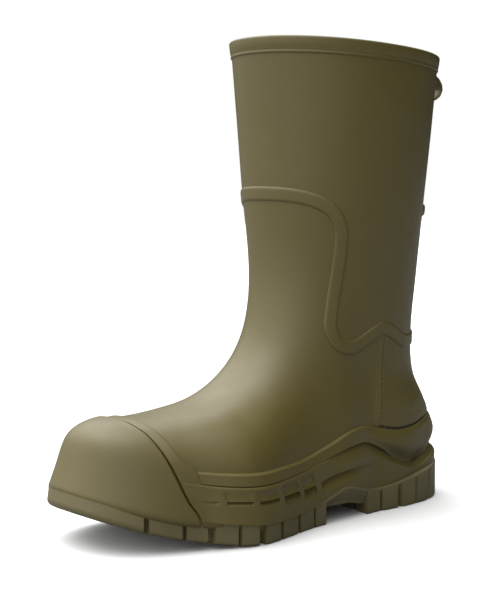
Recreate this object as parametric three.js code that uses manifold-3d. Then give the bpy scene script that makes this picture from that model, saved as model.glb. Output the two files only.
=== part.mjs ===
// Rubber rain boot, left foot. Millimetres, +Z up, -Y towards the toe, +X the outer side.
// The origin is on the ground under the leg, on the flat of the heel.
// In the notes f is forward (= -y), l is towards the outer side (= x), and "local z" is the
// height above the sole's curved underside, which rises at the toe.
import * as THREE from 'three';
import { mergeVertices } from 'three/addons/utils/BufferGeometryUtils.js';
import Module from 'manifold-3d';

const wasm = await Module();
wasm.setup();

// ---------------------------------------------------------------- driving dimensions
const RIM_Z = 292;              // height of the leg at its middle
const RIM_TILT = 3.7 / 60;      // the rim is a little higher in front
const RUBBER = 3.0;             // thickness of the rubber shell
const LINING = 2.0;             // thickness of the textile lining
const GAP = 0.3;                // assembly gap between touching layers
const STIFFENER = 1.3;          // thickness of the heel stiffener and of the toe puff
const BAND = 1.3;               // how far the seam band stands on the shell
const RIM_BAND_H = 9.2, RIM_BAND_T = 1.2;
const GUARD_T = 2.7;            // mudguard thickness on the shell
const TOE_CAP_T = 2.3;
const TREAD_DEPTH = 6.5;        // depth of the cleats
const ARCH_Z = 9.8;             // underside of the arch above the ground
const HEEL_BREAST = 11, TREAD_REAR = 50.5;
const SPRING = 17.5, SPRING_START = 105, TOE_F = 194;
const HEEL_C = -22, TOE_C = 140;

// leg: height -> front, back, half width. foot: forward -> widths, middle, crown.
const LEG_FRONT = [[0, 50], [60, 49], [100, 51], [140, 55], [190, 61.3], [240, 65.7], [292, 71.2]];
const LEG_BACK = [[0, -62], [35, -65], [60, -70], [85, -58], [115, -54.7], [145, -56.5],
  [190, -59.8], [240, -65.3], [292, -71.7]];
const LEG_HALF = [[0, 36], [35, 38], [60, 41.5], [90, 39.3], [130, 43.4], [190, 50.9],
  [240, 54.5], [292, 56.3]];
const FOOT_LAT = [[-40, 30], [0, 30], [50, 38], [110, 58], [150, 50], [210, 42.5]];
const FOOT_MED = [[-40, 30], [0, 31], [50, 36], [110, 45], [150, 43.5], [210, 40]];
const FOOT_MID = [[-60, -2], [100, 2.5], [210, 0]];
const CROWN = [[-60, 95], [0, 94.5], [60, 89.7], [110, 77.1], [150, 68.6], [210, 68]];
const WIDEST_Z = 39.5, FILLET = 54;

// side-view lines (f, z)
const BAND_LINE = [[95, 204], [66, 202.4], [53.2, 199.8], [42.9, 195], [36.4, 188.4], [32.7, 178.6],
  [32.2, 165], [33.2, 150], [35.6, 130], [36.4, 119], [32.6, 110.5], [26, 106.8], [17.5, 106.8],
  [9, 110.7], [1.1, 115.2], [-4.8, 117.1], [-13.8, 113.9], [-21, 110], [-29, 107.2], [-40, 107.2],
  [-52, 109], [-90, 110]];
const BAND_W = 8.6;
const COUNTER_F = -3;           // the upright seam of the heel counter
const CAP_REAR = [[172.5, 90], [170.2, 69.9], [168.1, 65.1], [165.4, 56.6], [160.8, 42.8],
  [155.6, 29.1], [151, 22], [149, 15]];
const GUARD_TOP = [[-90, 57.5], [-60, 57], [-51.7, 55.2], [-38, 52.2], [-28, 51], [-16, 51.2], [0, 54.2],
  [8, 55.9], [16, 56.3], [29, 54.1], [46.2, 48], [68, 42.8], [96, 41.5], [122, 41.3], [155, 40]];
const GUARD_LOW = [[-90, 35], [-70, 34.6], [-62, 32.6], [-52, 28.2], [-42, 25.6], [-32, 26.8], [-22, 30.2],
  [-14, 33.8], [-5, 38.8], [4, 43], [12, 45.2], [18, 45.6], [30, 44], [44, 40.3], [62.7, 36.2], [90, 34],
    [114, 33.6], [156, 32.6], [210, 32]];
const TREAD_TOP = [[-90, 24.5], [-70, 24], [-60, 22.5], [-49, 21], [-25.8, 17.8], [-8.6, 15.6], [7.8,
  15.9], [20.7, 18.7],
  [32.5, 21], [42, 18.2], [53.7, 14.9], [62.6, 14], [96.5, 12.9], [126, 13.9], [156, 14], [180, 13.2],
    [210, 13]];
const FLOOR = [[-70, 26], [10, 26], [40, 23], [70, 19], [95, 17.3], [220, 17]];
// cross slots of the tread: [f, width]
const SLOTS = [[180.4, 2], [158.7, 2.4], [143.3, 4.4], [127.6, 2.4], [113, 5.4], [95.9, 2.4],
  [77.6, 2.6], [61.5, 2], [-2.3, 2.4], [-19.4, 4.6], [-35.8, 2.4], [-51, 2.4]];
// sidewall windows: [rear f, front f]
const WINDOWS = [[140.5, 154], [119.7, 135.5], [98.3, 115.1], [76.9, 93.3], [59.6, 72.4]];

// ---------------------------------------------------------------- the boot's form
const clamp = (x, a, b) => Math.min(b, Math.max(a, x));
const smooth = (x) => { const t = clamp(x, 0, 1); return t * t * (3 - 2 * t); };
// a smooth curve through knots, level with the ends outside them
function curve(x, pts) {
  if (x <= pts[0][0]) return pts[0][1];
  const n = pts.length;
  if (x >= pts[n - 1][0]) return pts[n - 1][1];
  let i = 0;
  while (x > pts[i + 1][0]) i++;
  const slope = (k) => {
    if (k === 0) return (pts[1][1] - pts[0][1]) / (pts[1][0] - pts[0][0]);
    if (k === n - 1) return (pts[k][1] - pts[k - 1][1]) / (pts[k][0] - pts[k - 1][0]);
    return (pts[k + 1][1] - pts[k - 1][1]) / (pts[k + 1][0] - pts[k - 1][0]);
  };
  const h = pts[i + 1][0] - pts[i][0], t = (x - pts[i][0]) / h;
  const a = t * t * t, b = t * t;
  return (2 * a - 3 * b + 1) * pts[i][1] + (a - 2 * b + t) * h * slope(i)
    + (3 * b - 2 * a) * pts[i + 1][1] + (a - b) * h * slope(i + 1);
}
const spring = (f) => SPRING * Math.pow(clamp((f - SPRING_START) / (TOE_F - SPRING_START), 0, 9), 1.8);

// depth below (negative) or above (positive) the shell's outer face, in about millimetres:
// an oval leg and a last-shaped foot, joined with a fillet over the instep
function depth(f, l, z) {
  const F = curve(z, LEG_FRONT), B = curve(z, LEG_BACK), b = curve(z, LEG_HALF);
  const fc = (F + B) / 2, a = (F - B) / 2, k = 2.15;
  const leg = (Math.pow(Math.pow(Math.abs((f - fc) / a), k) + Math.pow(Math.abs(l / b), k),
    1 / k) - 1) * Math.min(a, b);
  const zz = z - spring(f), mid = curve(f, FOOT_MID);
  const w = l > mid ? curve(f, FOOT_LAT) : curve(f, FOOT_MED), H = curve(f, CROWN);
  const up = Math.max(0, zz - WIDEST_Z) / (H - WIDEST_Z);
  const s = Math.max(0, f - 118) / (TOE_F - 118), sh = Math.max(0, -f) / 45;
  const flare = (0.05 + 0.2 * smooth((f - 110) / 80)) * clamp(WIDEST_Z - zz, 0, 40);
  const G = Math.pow(Math.abs((l - mid) / w), 2.6) + Math.pow(up, 1.6) + Math.pow(s, 2.75) + Math.pow(sh,
    2.5);
  const foot = (Math.pow(G, 1 / 2.3) - 1) * 44 - flare;
  const kf = FILLET * smooth((f + 25) / 60) + 1e-3;
  const h = Math.max(0, kf - Math.abs(leg - foot)) / kf;
  return Math.min(leg, foot) - h * h * kf / 4;
}
// the point on the ray from o along d where field() reaches zero
function march(o, d, field, far = 330) {
  let lo = 0, hi = far;
  for (let i = 0; i < 34; i++) {
    const r = (lo + hi) / 2;
    if (field(o[0] + r * d[0], o[1] + r * d[1], o[2] + r * d[2]) < 0) lo = r; else hi = r;
  }
  return [o[0] + lo * d[0], o[1] + lo * d[1], o[2] + lo * d[2]];
}
const tilt = (p) => [p[0], p[1], p[2] + RIM_TILT * p[0] * clamp((p[2] - 200) / 92, 0, 1)];
const world = (p) => [p[1], -p[0], p[2]];

// ---------------------------------------------------------------- meshes and solids
// weld the corners, drop collapsed triangles, and make a solid
function solid(points, tris) {
  const key = new Map(), verts = [], idx = [];
  for (const p of points) {
    const k = p.map((v) => Math.round(v * 1e4)).join(',');
    if (!key.has(k)) { key.set(k, verts.length / 3); verts.push(...p); }
    idx.push(key.get(k));
  }
  const t = [];
  for (const [a, b, c] of tris) {
    const A = idx[a], B = idx[b], C = idx[c];
    if (A !== B && B !== C && A !== C) t.push(A, B, C);
  }
  let m = new wasm.Manifold(new wasm.Mesh({ numProp: 3, vertProperties: new Float32Array(verts),
    triVerts: new Uint32Array(t) }));
  if (m.volume() < 0) {
    for (let i = 0; i < t.length; i += 3) [t[i], t[i + 1]] = [t[i + 1], t[i]];
    m = new wasm.Manifold(new wasm.Mesh({ numProp: 3, vertProperties: new Float32Array(verts),
      triVerts: new Uint32Array(t) }));
  }
  return m;
}
// a three.js geometry as a solid; map() moves each corner
function fromGeometry(geometry, map = (p) => p) {
  const g = geometry.index ? geometry.toNonIndexed() : geometry;
  g.deleteAttribute('normal'); g.deleteAttribute('uv');
  const m = mergeVertices(g), p = m.attributes.position, pts = [], tris = [];
  for (let i = 0; i < p.count; i++) pts.push(map([p.getX(i), p.getY(i), p.getZ(i)]));
  for (let i = 0; i < m.index.count; i += 3) tris.push([m.index.getX(i), m.index.getX(i + 1),
    m.index.getX(i + 2)]);
  return solid(pts, tris);
}
// a side-view outline (f, z) as a prism across the boot from l0 to l1
function prism(outline, l0 = -120, l1 = 120) {
  const shape = new THREE.Shape(outline.map(([f, z]) => new THREE.Vector2(f, z)));
  const g = new THREE.ExtrudeGeometry(shape, { depth: l1 - l0, bevelEnabled: false });
  return fromGeometry(g, (p) => world([p[0], p[2] + l0, p[1]]));
}
// a plan outline (f, l) as a prism from z0 to z1; rises with the toe spring where asked
function planPrism(outline, z0, z1, lift = false) {
  const shape = new THREE.Shape(outline.map(([f, l]) => new THREE.Vector2(f, l)));
  const g = new THREE.ExtrudeGeometry(shape, { depth: z1 - z0, bevelEnabled: false });
  return fromGeometry(g, (p) => world([p[0], p[1], p[2] + z0 + (lift ? spring(p[0]) : 0)]));
}
// a line moved sideways by d, to its left
function offsetLine(pts, d) {
  return pts.map((p, i) => {
    const a = pts[Math.max(0, i - 1)], b = pts[Math.min(pts.length - 1, i + 1)];
    const n = Math.hypot(b[0] - a[0], b[1] - a[1]);
    return [p[0] - d * (b[1] - a[1]) / n, p[1] + d * (b[0] - a[0]) / n];
  });
}

// stations down the leg, round the ankle and along the foot: f, z and tilt of the section plane
const SPINE_F = [[0, 0], [0.25, 0], [0.4, 2], [0.5, 10], [0.6, 25], [0.7, 50], [0.8, 85], [0.9, 120], [1,
  150]];
const SPINE_Z = [[0, 292], [0.25, 200], [0.4, 140], [0.5, 105], [0.6, 78], [0.7, 60], [0.8, 52], [0.9,
  50], [1, 48]];
const SPINE_T = [[0, 0], [0.25, 0], [0.4, 0], [0.5, 18], [0.6, 42], [0.7, 64], [0.8, 80], [0.9, 88], [1,
  92]];
const NU = 24;
const ROWS = [0, 0.1, 0.2, 0.28, 0.35, 0.41, 0.46, 0.5, 0.525, 0.545, 0.565, 0.585, 0.61, 0.65, 0.7,
  0.76, 0.83,
  0.9, 0.96, 1, 1.25, 1.5, 1.75, 2];
const rowsBetween = (a, b) => ROWS.filter((v) => v >= a && v <= b);
// one point of the sock grid: row v, direction u, standing proud of the shell's face
function sock(v, u, proud, floor) {
  const p = typeof proud === 'function' ? proud : () => proud;
  const w = Math.min(v, 1);
  const o = [curve(w, SPINE_F), 0, curve(w, SPINE_Z)], t = curve(w, SPINE_T) * Math.PI / 180;
  let d = [Math.cos(t) * Math.cos(u), Math.sin(u), Math.sin(t) * Math.cos(u)];
  if (v > 1) {
    const b = (v - 1) * Math.PI / 2, c = Math.cos(b), s = Math.sin(b);
    d = [c * d[0] + s * Math.sin(t), c * d[1], c * d[2] - s * Math.cos(t)];
  }
  const r = 5;
  const field = (f, l, z) => {
    const a = depth(f, l, z) - p(f, z), q = curve(f, FLOOR) + floor + spring(f) - z;
    const h = Math.max(0, r - Math.abs(a - q)) / r;
    return Math.max(a, q) + h * h * r / 4;
  };
  return world(tilt(march(o, d, field)));
}
// a closed solid between two sock surfaces; inner null fills it
function sockSolid(rows, outer, floorOuter, inner, floorInner, nu = NU) {
  const pts = [], tris = [];
  const grid = (proud, floor) => {
    const base = pts.length;
    for (const v of rows) for (let j = 0; j < nu; j++) pts.push(sock(v, 2 * Math.PI * j / nu, proud,
      floor));
    return base;
  };
  const n = rows.length, A = grid(outer, floorOuter), B = inner === null ? -1 : grid(inner, floorInner);
  const quad = (a, b, c, d) => { tris.push([a, b, c], [a, c, d]); };
  for (let i = 0; i < n - 1; i++) for (let j = 0; j < nu; j++) {
    const k = (j + 1) % nu;
    quad(A + i * nu + j, A + (i + 1) * nu + j, A + (i + 1) * nu + k, A + i * nu + k);
    if (B >= 0) quad(B + i * nu + j, B + i * nu + k, B + (i + 1) * nu + k, B + (i + 1) * nu + j);
  }
  const closedToe = rows[n - 1] === 2;
  const cap = (i, flip) => {
    if (B >= 0) {
      for (let j = 0; j < nu; j++) {
        const k = (j + 1) % nu;
        if (flip) quad(A + i * nu + j, A + i * nu + k, B + i * nu + k, B + i * nu + j);
        else quad(A + i * nu + k, A + i * nu + j, B + i * nu + j, B + i * nu + k);
      }
    } else {
      const c = pts.length, m = [0, 0, 0];
      for (let j = 0; j < nu; j++) for (let q = 0; q < 3; q++) m[q] += pts[A + i * nu + j][q] / nu;
      pts.push(m);
      for (let j = 0; j < nu; j++) { const k = (j + 1) % nu; if (flip) tris.push([A + i * nu + j,
        A + i * nu + k, c]); else tris.push([A + i * nu + k, A + i * nu + j, c]); }
    }
  };
  cap(0, true);
  if (!closedToe) cap(n - 1, false);
  return solid(pts, tris);
}

// the sole's plan: stations round a long oval spine, t = 0..1 from the back of the heel
function around(t) {
  const q = Math.PI / 2 * 45, q2 = Math.PI / 2 * 52, ln = TOE_C - HEEL_C, tot = 2 * (q + q2 + ln);
  let s = (((t % 1) + 1) % 1) * tot;
  const side = s <= tot / 2 ? 1 : -1;
  if (side < 0) s = tot - s;
  if (s < q) return [HEEL_C, Math.PI - s / q * Math.PI / 2, side];
  if (s < q + ln) return [HEEL_C + s - q, Math.PI / 2, side];
  return [TOE_C, Math.PI / 2 - (s - q - ln) / q2 * Math.PI / 2, side];
}
// point of the wall: round parameter t, local height z, standing proud of the form;
// plan = true keeps the outline of the widest level
function wall(t, z, proud, plan = false) {
  const [of, a, side] = around(t);
  const field = plan
    ? (f, l) => depth(f, l, WIDEST_Z + spring(f)) - proud
    : (f, l) => depth(f, l, z + spring(f)) - proud;
  const p = march([of, 0, 0], [Math.cos(a), side * Math.sin(a), 0], field, 200);
  return [p[0], p[1], z + spring(p[0])];
}
// a closed ring round the boot: profile(t, f) gives corners [z, proud, plan] in order
function ring(n, profile) {
  const pts = [], tris = [];
  let m = 0;
  for (let i = 0; i < n; i++) {
    const t = i / n, f0 = wall(t, 30, 0)[0], prof = profile(t, f0);
    m = prof.length;
    for (const [z, proud, plan] of prof) pts.push(world(wall(t, z, proud, plan)));
  }
  for (let i = 0; i < n; i++) for (let j = 0; j < m; j++) {
    const a = i * m + j, b = i * m + (j + 1) % m, c = ((i + 1) % n) * m + (j + 1) % m,
      d = ((i + 1) % n) * m + j;
    tris.push([a, b, c], [a, c, d]);
  }
  return solid(pts, tris);
}
// a plate over the plan: rings from the spine (r = 0) to the outline (r = 1);
// top and bottom give local heights by r and f
function plate(n, rings, proud, top, bottom) {
  const pts = [], tris = [], m = rings.length;
  for (const h of [top, bottom]) for (let i = 0; i < n; i++) {
    const t = i / n, [of] = around(t);
    const p = wall(t, 30, typeof proud === 'function' ? proud(wall(t, 30, 0)[0]) : proud, true);
    for (const r of rings) {
      const f = of + r * (p[0] - of), l = r * p[1];
      pts.push(world([f, l, h(r, f) + spring(f)]));
    }
  }
  const off = n * m;
  for (let i = 0; i < n; i++) {
    const k = (i + 1) % n;
    for (let j = 0; j < m - 1; j++) {
      tris.push([i * m + j, i * m + j + 1, k * m + j + 1], [i * m + j, k * m + j + 1, k * m + j]);
      tris.push([off + i * m + j, off + k * m + j + 1, off + i * m + j + 1], [off + i * m + j,
        off + k * m + j, off + k * m + j + 1]);
    }
    const a = i * m + m - 1, b = k * m + m - 1;
    tris.push([a, off + a, off + b], [a, off + b, b]);
  }
  return solid(pts, tris);
}

// ---------------------------------------------------------------- materials
const olive = (r, g, b, rough = 0.55) => new THREE.MeshStandardMaterial({ color: new THREE.Color(r, g,
  b), roughness: rough, metalness: 0 });
const RUBBER_MAT = () => olive(0.12, 0.105, 0.05);
const LINING_MAT = () => olive(0.09, 0.085, 0.065, 0.95);
const BOARD_MAT = () => olive(0.35, 0.27, 0.17, 0.9);
const FOAM_MAT = () => olive(0.05, 0.05, 0.05, 0.9);
const boot = new THREE.Group();
boot.name = 'rain_boot';
function add(name, body, material) {
  const m = body.getMesh(), g = new THREE.BufferGeometry();
  const n = m.numProp, v = new Float32Array(m.vertProperties.length / n * 3);
  for (let i = 0; i < v.length / 3; i++) for (let j = 0; j < 3; j++) v[i * 3 + j] = m.vertProperties[i * n + j];
  g.setAttribute('position', new THREE.BufferAttribute(v, 3));
  g.setIndex(new THREE.BufferAttribute(new Uint32Array(m.triVerts), 1));
  g.computeVertexNormals();
  const mesh = new THREE.Mesh(g, material);
  mesh.name = name;
  boot.add(mesh);
  return body;
}

// ---------------------------------------------------------------- rubber shell: leg, vamp and heel counter
const shell = sockSolid(ROWS, 0, 0, -RUBBER, RUBBER);
const g2 = GAP / 2;
const belowBand = (d) => prism([...offsetLine(BAND_LINE, d), [-95, -30], [240, -30], [240, 204 - d]]);
const ahead = (d) => prism([[COUNTER_F + d, -40], [250, -40], [250, 260], [COUNTER_F + d, 260]]);
add('vamp_panel', shell.intersect(belowBand(g2)).intersect(ahead(g2)), RUBBER_MAT());
add('heel_counter_panel', shell.intersect(belowBand(g2)).subtract(ahead(-g2)), RUBBER_MAT());
add('leg_panel', shell.subtract(belowBand(-g2)), RUBBER_MAT());

// ---------------------------------------------------------------- lining, with the stiffeners outside it
// the lining sits deeper at the heel and at the toe, where a stiffener lies behind the rubber
const deeper = (f, z) => Math.max(smooth((42 - f) / 22) * smooth((108 - z) / 20),
  smooth((f - 120) / 16)) * (STIFFENER + GAP);
const liningOut = (f, z) => -RUBBER - GAP - deeper(f, z);
const liningIn = (f, z) => liningOut(f, z) - LINING;
const LF = RUBBER + GAP + 2.4 + GAP;      // lining's underside above the shell's underside
const CUT = 0.5;                           // the leg lining meets the foot lining at this station
add('leg_lining', sockSolid([0.003, ...rowsBetween(0.05, CUT)], liningOut, LF, liningIn, LF + LINING),
  LINING_MAT());
add('foot_lining', sockSolid([CUT + 0.004, ...rowsBetween(CUT + 0.01, 2)], liningOut, LF, liningIn,
  LF + LINING), LINING_MAT());
const liningRoom = sockSolid([CUT + 0.004, ...rowsBetween(CUT + 0.01, 2)], (f, z) => liningOut(f,
  z) + GAP, LF - GAP, null, 0);
const stiff = sockSolid(rowsBetween(0.46, 2), -RUBBER - GAP, LF, -RUBBER - GAP - STIFFENER - 1,
  LF + STIFFENER + 1).subtract(liningRoom);
add('heel_stiffener', stiff.intersect(prism([[-90, 40], [-90, 80], [-18, 76], [-10, 40]])), BOARD_MAT());
add('toe_puff', stiff.intersect(prism([[144, 46], [151, 84], [230, 84], [230, 46]])), BOARD_MAT());

// ---------------------------------------------------------------- insole board, footbed
const floorZ = (f) => curve(f, FLOOR);
const inside = (extra, floor) => sockSolid(ROWS, (f, z) => liningIn(f, z) - extra, floor, null, 0);
const boardRoom = sockSolid(ROWS, -RUBBER - GAP - 0.2, RUBBER + GAP, null, 0);
add('insole_board', plate(32, [0, 0.5, 1], -RUBBER - 5, (r, f) => floorZ(f) + RUBBER + GAP + 2.1, (r,
  f) => floorZ(f)).intersect(boardRoom), BOARD_MAT());
const bedUnder = LF + LINING + 0.6;
const cavity = inside(1.0, LF + LINING + 0.5);
const bed = (top, bottom) => plate(32, [0, 0.5, 0.8, 1], -RUBBER - LINING - 4.2, top, bottom)
  .intersect(cavity);
const cup = (r) => 1.8 * smooth((r - 0.5) / 0.5);
add('footbed_foam', bed((r, f) => floorZ(f) + bedUnder + 4.2 + cup(r), (r, f) => floorZ(f) + bedUnder),
  FOAM_MAT());
add('footbed_cover', bed((r, f) => floorZ(f) + bedUnder + 5.7 + cup(r), (r,
  f) => floorZ(f) + bedUnder + 4.5 + cup(r)), LINING_MAT());

// ---------------------------------------------------------------- seam band, rim band, strips
const skinLayer = (rows, thick) => sockSolid(rows, GAP + thick, -30, GAP, -30);
const bandArea = prism([...offsetLine(BAND_LINE, BAND_W / 2), ...offsetLine(BAND_LINE,
  -BAND_W / 2).reverse()]);
add('seam_band', skinLayer(rowsBetween(0.2, 0.65), BAND).intersect(bandArea), RUBBER_MAT());
const r1 = RIM_BAND_H / 368;
add('rim_band', skinLayer([0, r1], RIM_BAND_T), RUBBER_MAT());
const seamArea = (l0, l1) => prism([[COUNTER_F + 3, 58.5], [COUNTER_F + 2.2, 80], [COUNTER_F + 2.2,
  111.2], [COUNTER_F - 3, 111.4], [COUNTER_F - 3, 80], [COUNTER_F - 2, 58]], l0, l1);
const strip = skinLayer(rowsBetween(0.35, 0.7), 0.9).subtract(prism([...offsetLine(BAND_LINE,
  -BAND_W / 2 - GAP), [-95, 250], [95, 250]]));
add('heel_seam_strip_outer', strip.intersect(seamArea(5, 90)), RUBBER_MAT());
add('heel_seam_strip_inner', strip.intersect(seamArea(-90, -5)), RUBBER_MAT());
add('rear_ledge', skinLayer(rowsBetween(0.2, 0.35), 1.7).intersect(prism([[-90, 186.5], [-90, 195.5],
  [-50, 194.5], [-49, 187.5]])), RUBBER_MAT());

// the pull loop: a D of rubber ribbon on a small tab at the back of the rim
const shellFull = sockSolid(rowsBetween(0, 0.28), GAP, 0, null, 0);
const loopOut = [[-60, 276.9], [-69.6, 276.6], [-71.4, 277.5], [-74.5, 281], [-79.3, 283.7], [-86,
  283.6], [-91, 280.4],
  [-94, 275.9], [-94.4, 271.4], [-92.3, 266.8], [-87.8, 263.9], [-81.6, 262.6], [-75.5, 262.9], [-69,
    264], [-60, 264]];
const loopIn = [[-73, 275.9], [-75.9, 279.1], [-80, 281.7], [-85.2, 281.6], [-89.4, 279], [-92, 275.3],
  [-92.4, 271.8],
  [-90.5, 268.1], [-87, 265.8], [-81.6, 264.6], [-75.6, 264.9], [-73, 265.2]];
const loop = prism(loopOut, -5, 5).subtract(prism(loopIn, -6, 6)).subtract(shellFull);
add('pull_loop', loop, RUBBER_MAT());

// ---------------------------------------------------------------- toe cap and its strip
const capLayer = sockSolid(rowsBetween(0.76, 2), GAP + TOE_CAP_T, -40, GAP, -40);
// the room the outsole takes, with the gap over it; everything below its edge is the sole's
const SOLE_N = 44, SOLE_RIM = 0.875, BED_TOP = 8.6;
const soleProud = (f) => 5.2 + 4.2 * smooth((f - 150) / 45) + 3.2 * smooth((-20 - f) / 45);
const soleRings = [0, 0.5, SOLE_RIM, SOLE_RIM + 0.004, 1];
const arch = (f) => smooth((f - HEEL_BREAST + 6) / 8) * (1 - smooth((f - TREAD_REAR + 2) / 8));
const bedZ = (f) => BED_TOP + (ARCH_Z + 3 - BED_TOP) * arch(f) + 1.2 * smooth((10 - f) / 10);
const soleTop = (r, f) => (r > SOLE_RIM ? curve(f, TREAD_TOP) : bedZ(f));
const below = plate(SOLE_N, [0, 0.5, SOLE_RIM - 0.02, SOLE_RIM - 0.016, 1, 1.3], soleProud,
  (r, f) => (r > SOLE_RIM - 0.018 ? curve(f, TREAD_TOP) : bedZ(f)) + GAP, () => -30);
// the room the rubber shell takes, with the gap round it
const shellRoom = sockSolid(ROWS, GAP, -GAP, null, 0);
const capArea = prism([...CAP_REAR, [260, 0], [260, 90]]);
add('toe_cap', capLayer.intersect(capArea).subtract(below), RUBBER_MAT());
const stripLine = CAP_REAR.map(([f, z]) => [f - GAP, z]);
const stripArea = prism([...stripLine, ...CAP_REAR.map(([f, z]) => [f - 7.4, z]).reverse()]);

// ---------------------------------------------------------------- mudguard and sidewall
const NR = 42;
const guardRing = ring(NR, (t, f) => {
  const zt = curve(f, GUARD_TOP), zb = curve(f, GUARD_LOW) + g2;
  const rear = smooth((-44 - f) / 12), valley = smooth(-f / 22) * (1 - 0.8 * rear);
  return [[zt, GAP + 0.9], [zt - 1.6, GUARD_T], [(zt + zb) / 2, GUARD_T + 1 + 1.2 * rear],
    [zb, GUARD_T + 1.4 + 0.8 * rear - 2.2 * valley], [zb, -1.2], [zt, -1.2]];
});
const behindCap = (d) => prism([...CAP_REAR.map(([f, z]) => [f - d, z]), [140, -20], [-120, -20], [-120,
  120], [165, 120]]);
add('mudguard', guardRing.subtract(shellRoom).intersect(behindCap(7.7)), RUBBER_MAT());
// the sidewall's top edge is the mudguard's lower edge
const WALL_IN = -3;
const sideRing = ring(NR, (t, f) => {
  const rear = smooth((-34 - f) / 32), heel = smooth((12 - f) / 6);
  const zt = curve(f, GUARD_LOW) - g2 - 0.5 * heel;
  const zb = curve(f, TREAD_TOP) - 2, low = Math.min(7, (zt - zb) / 3);
  return [[zt, GUARD_T + 0.9 + 3.6 * rear], [(zt + zb) / 2 + 1, 3.9 + 4.6 * rear], [zb + low,
    4.4 + 4.6 * rear],
    [zb, 4.6 + 4.6 * rear], [zb, WALL_IN], [zt, WALL_IN]];
});
let side = sideRing.subtract(shellRoom).subtract(below).intersect(behindCap(GAP + 0.1));
for (const s of [1, -1]) for (const [f0, f1] of WINDOWS) {
  const m = (f0 + f1) / 2, z0 = 22.8 + spring(m), z1 = 30 + spring(m);
  const p0 = wallAt(f0, s), p1 = wallAt(f1, s);
  side = side.subtract(planPrism([[f0, p0 + s * 2.6], [f1, p1 + s * 2.6], [f1, p1 + s * 12], [f0,
    p0 + s * 12]], z0, z1));
}
function wallAt(f, s) {
  let lo = 0, hi = 90;
  for (let i = 0; i < 30; i++) { const m = (lo + hi) / 2; if (depth(f, s * m,
    27 + spring(f)) < 0) lo = m; else hi = m; }
  return s * lo;
}
add('midsole_sidewall', side, RUBBER_MAT());

// the strip that closes the toe cap's rear edge, down to the mudguard's level
const shellBand = sockSolid(rowsBetween(0.76, 1.75), GAP + 1.2, -40, GAP, -40);
add('toe_cap_strip', shellBand.intersect(stripArea).subtract(below)
  .subtract(ring(NR, (t, f) => [[34.2, 14], [-20, 14], [-20, -4], [34.2, -4]])), RUBBER_MAT());

// ---------------------------------------------------------------- fillers and shank
const filler = plate(32, [0, 0.5, 1], -8, (r, f) => floorZ(f) + 2, (r, f) => BED_TOP - 1)
  .subtract(shellRoom).subtract(below);
const slab = (f0, f1) => prism([[f0, -20], [f1, -20], [f1, 60], [f0, 60]]);
const shank = planPrism([[-32, -9], [62, -11], [62, 11], [-32, 9]], 15, 16.6);
add('shank', shank, new THREE.MeshStandardMaterial({ color: new THREE.Color(0.5, 0.5, 0.5),
  roughness: 0.4, metalness: 1 }));
const shankRoom = planPrism([[-32.4, -9.4], [62.4, -11.4], [62.4, 11.4], [-32.4, 9.4]], 14.7, 40);
add('heel_filler', filler.intersect(slab(-90, 30 - g2)).subtract(shankRoom), FOAM_MAT());
add('forefoot_filler', filler.intersect(slab(30 + g2, 230)).subtract(shankRoom), FOAM_MAT());

// ---------------------------------------------------------------- outsole
let outsole = plate(SOLE_N, soleRings, soleProud, soleTop, () => 0);
outsole = outsole.subtract(prism([[HEEL_BREAST, -5], [HEEL_BREAST, 6], [HEEL_BREAST + 5, ARCH_Z],
  [TREAD_REAR - 5, ARCH_Z], [TREAD_REAR, 6], [TREAD_REAR, -5]]));
for (const [f, w] of SLOTS) {
  const zs = spring(f), a = (w < 3 ? 1.4 : w) / 2 + 0.6;
  const v = f > 0 ? 5 : -6;
  outsole = outsole.subtract(planPrism([[f - a, -80], [f - a + v, 0], [f - a, 80], [f + a, 80],
    [f + a + v, 0], [f + a, -80]], -5, TREAD_DEPTH + zs - 1));
  for (const s of [1, -1]) {
    const [p0, p1] = [wallOut(f - w / 2, s), wallOut(f + w / 2, s)];
    outsole = outsole.subtract(planPrism([[f - w / 2, p0 - s * 3.5], [f + w / 2, p1 - s * 3.5],
      [f + w / 2, s * 90], [f - w / 2, s * 90]], -5, curve(f, TREAD_TOP) - 2 + zs));
  }
}
function wallOut(f, s) {
  let lo = 0, hi = 100;
  for (let i = 0; i < 30; i++) { const m = (lo + hi) / 2; if (depth(f, s * m,
    WIDEST_Z + spring(f)) < soleProud(f)) lo = m; else hi = m; }
  return s * lo;
}
add('outsole', outsole, RUBBER_MAT());

export default boot;
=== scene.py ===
"""Rubber rain boot, left foot: the finished look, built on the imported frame.

The boot stands in metres with +Z up, the toe towards -Y and the outer side towards +X.
Shapes are worked out in millimetres in the maker's own directions: f forward to the toe,
l towards the outer side, z up from the ground; place() turns them into the frame's metres.
"""

import bpy
import numpy as np
from mathutils import Matrix, Vector


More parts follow.
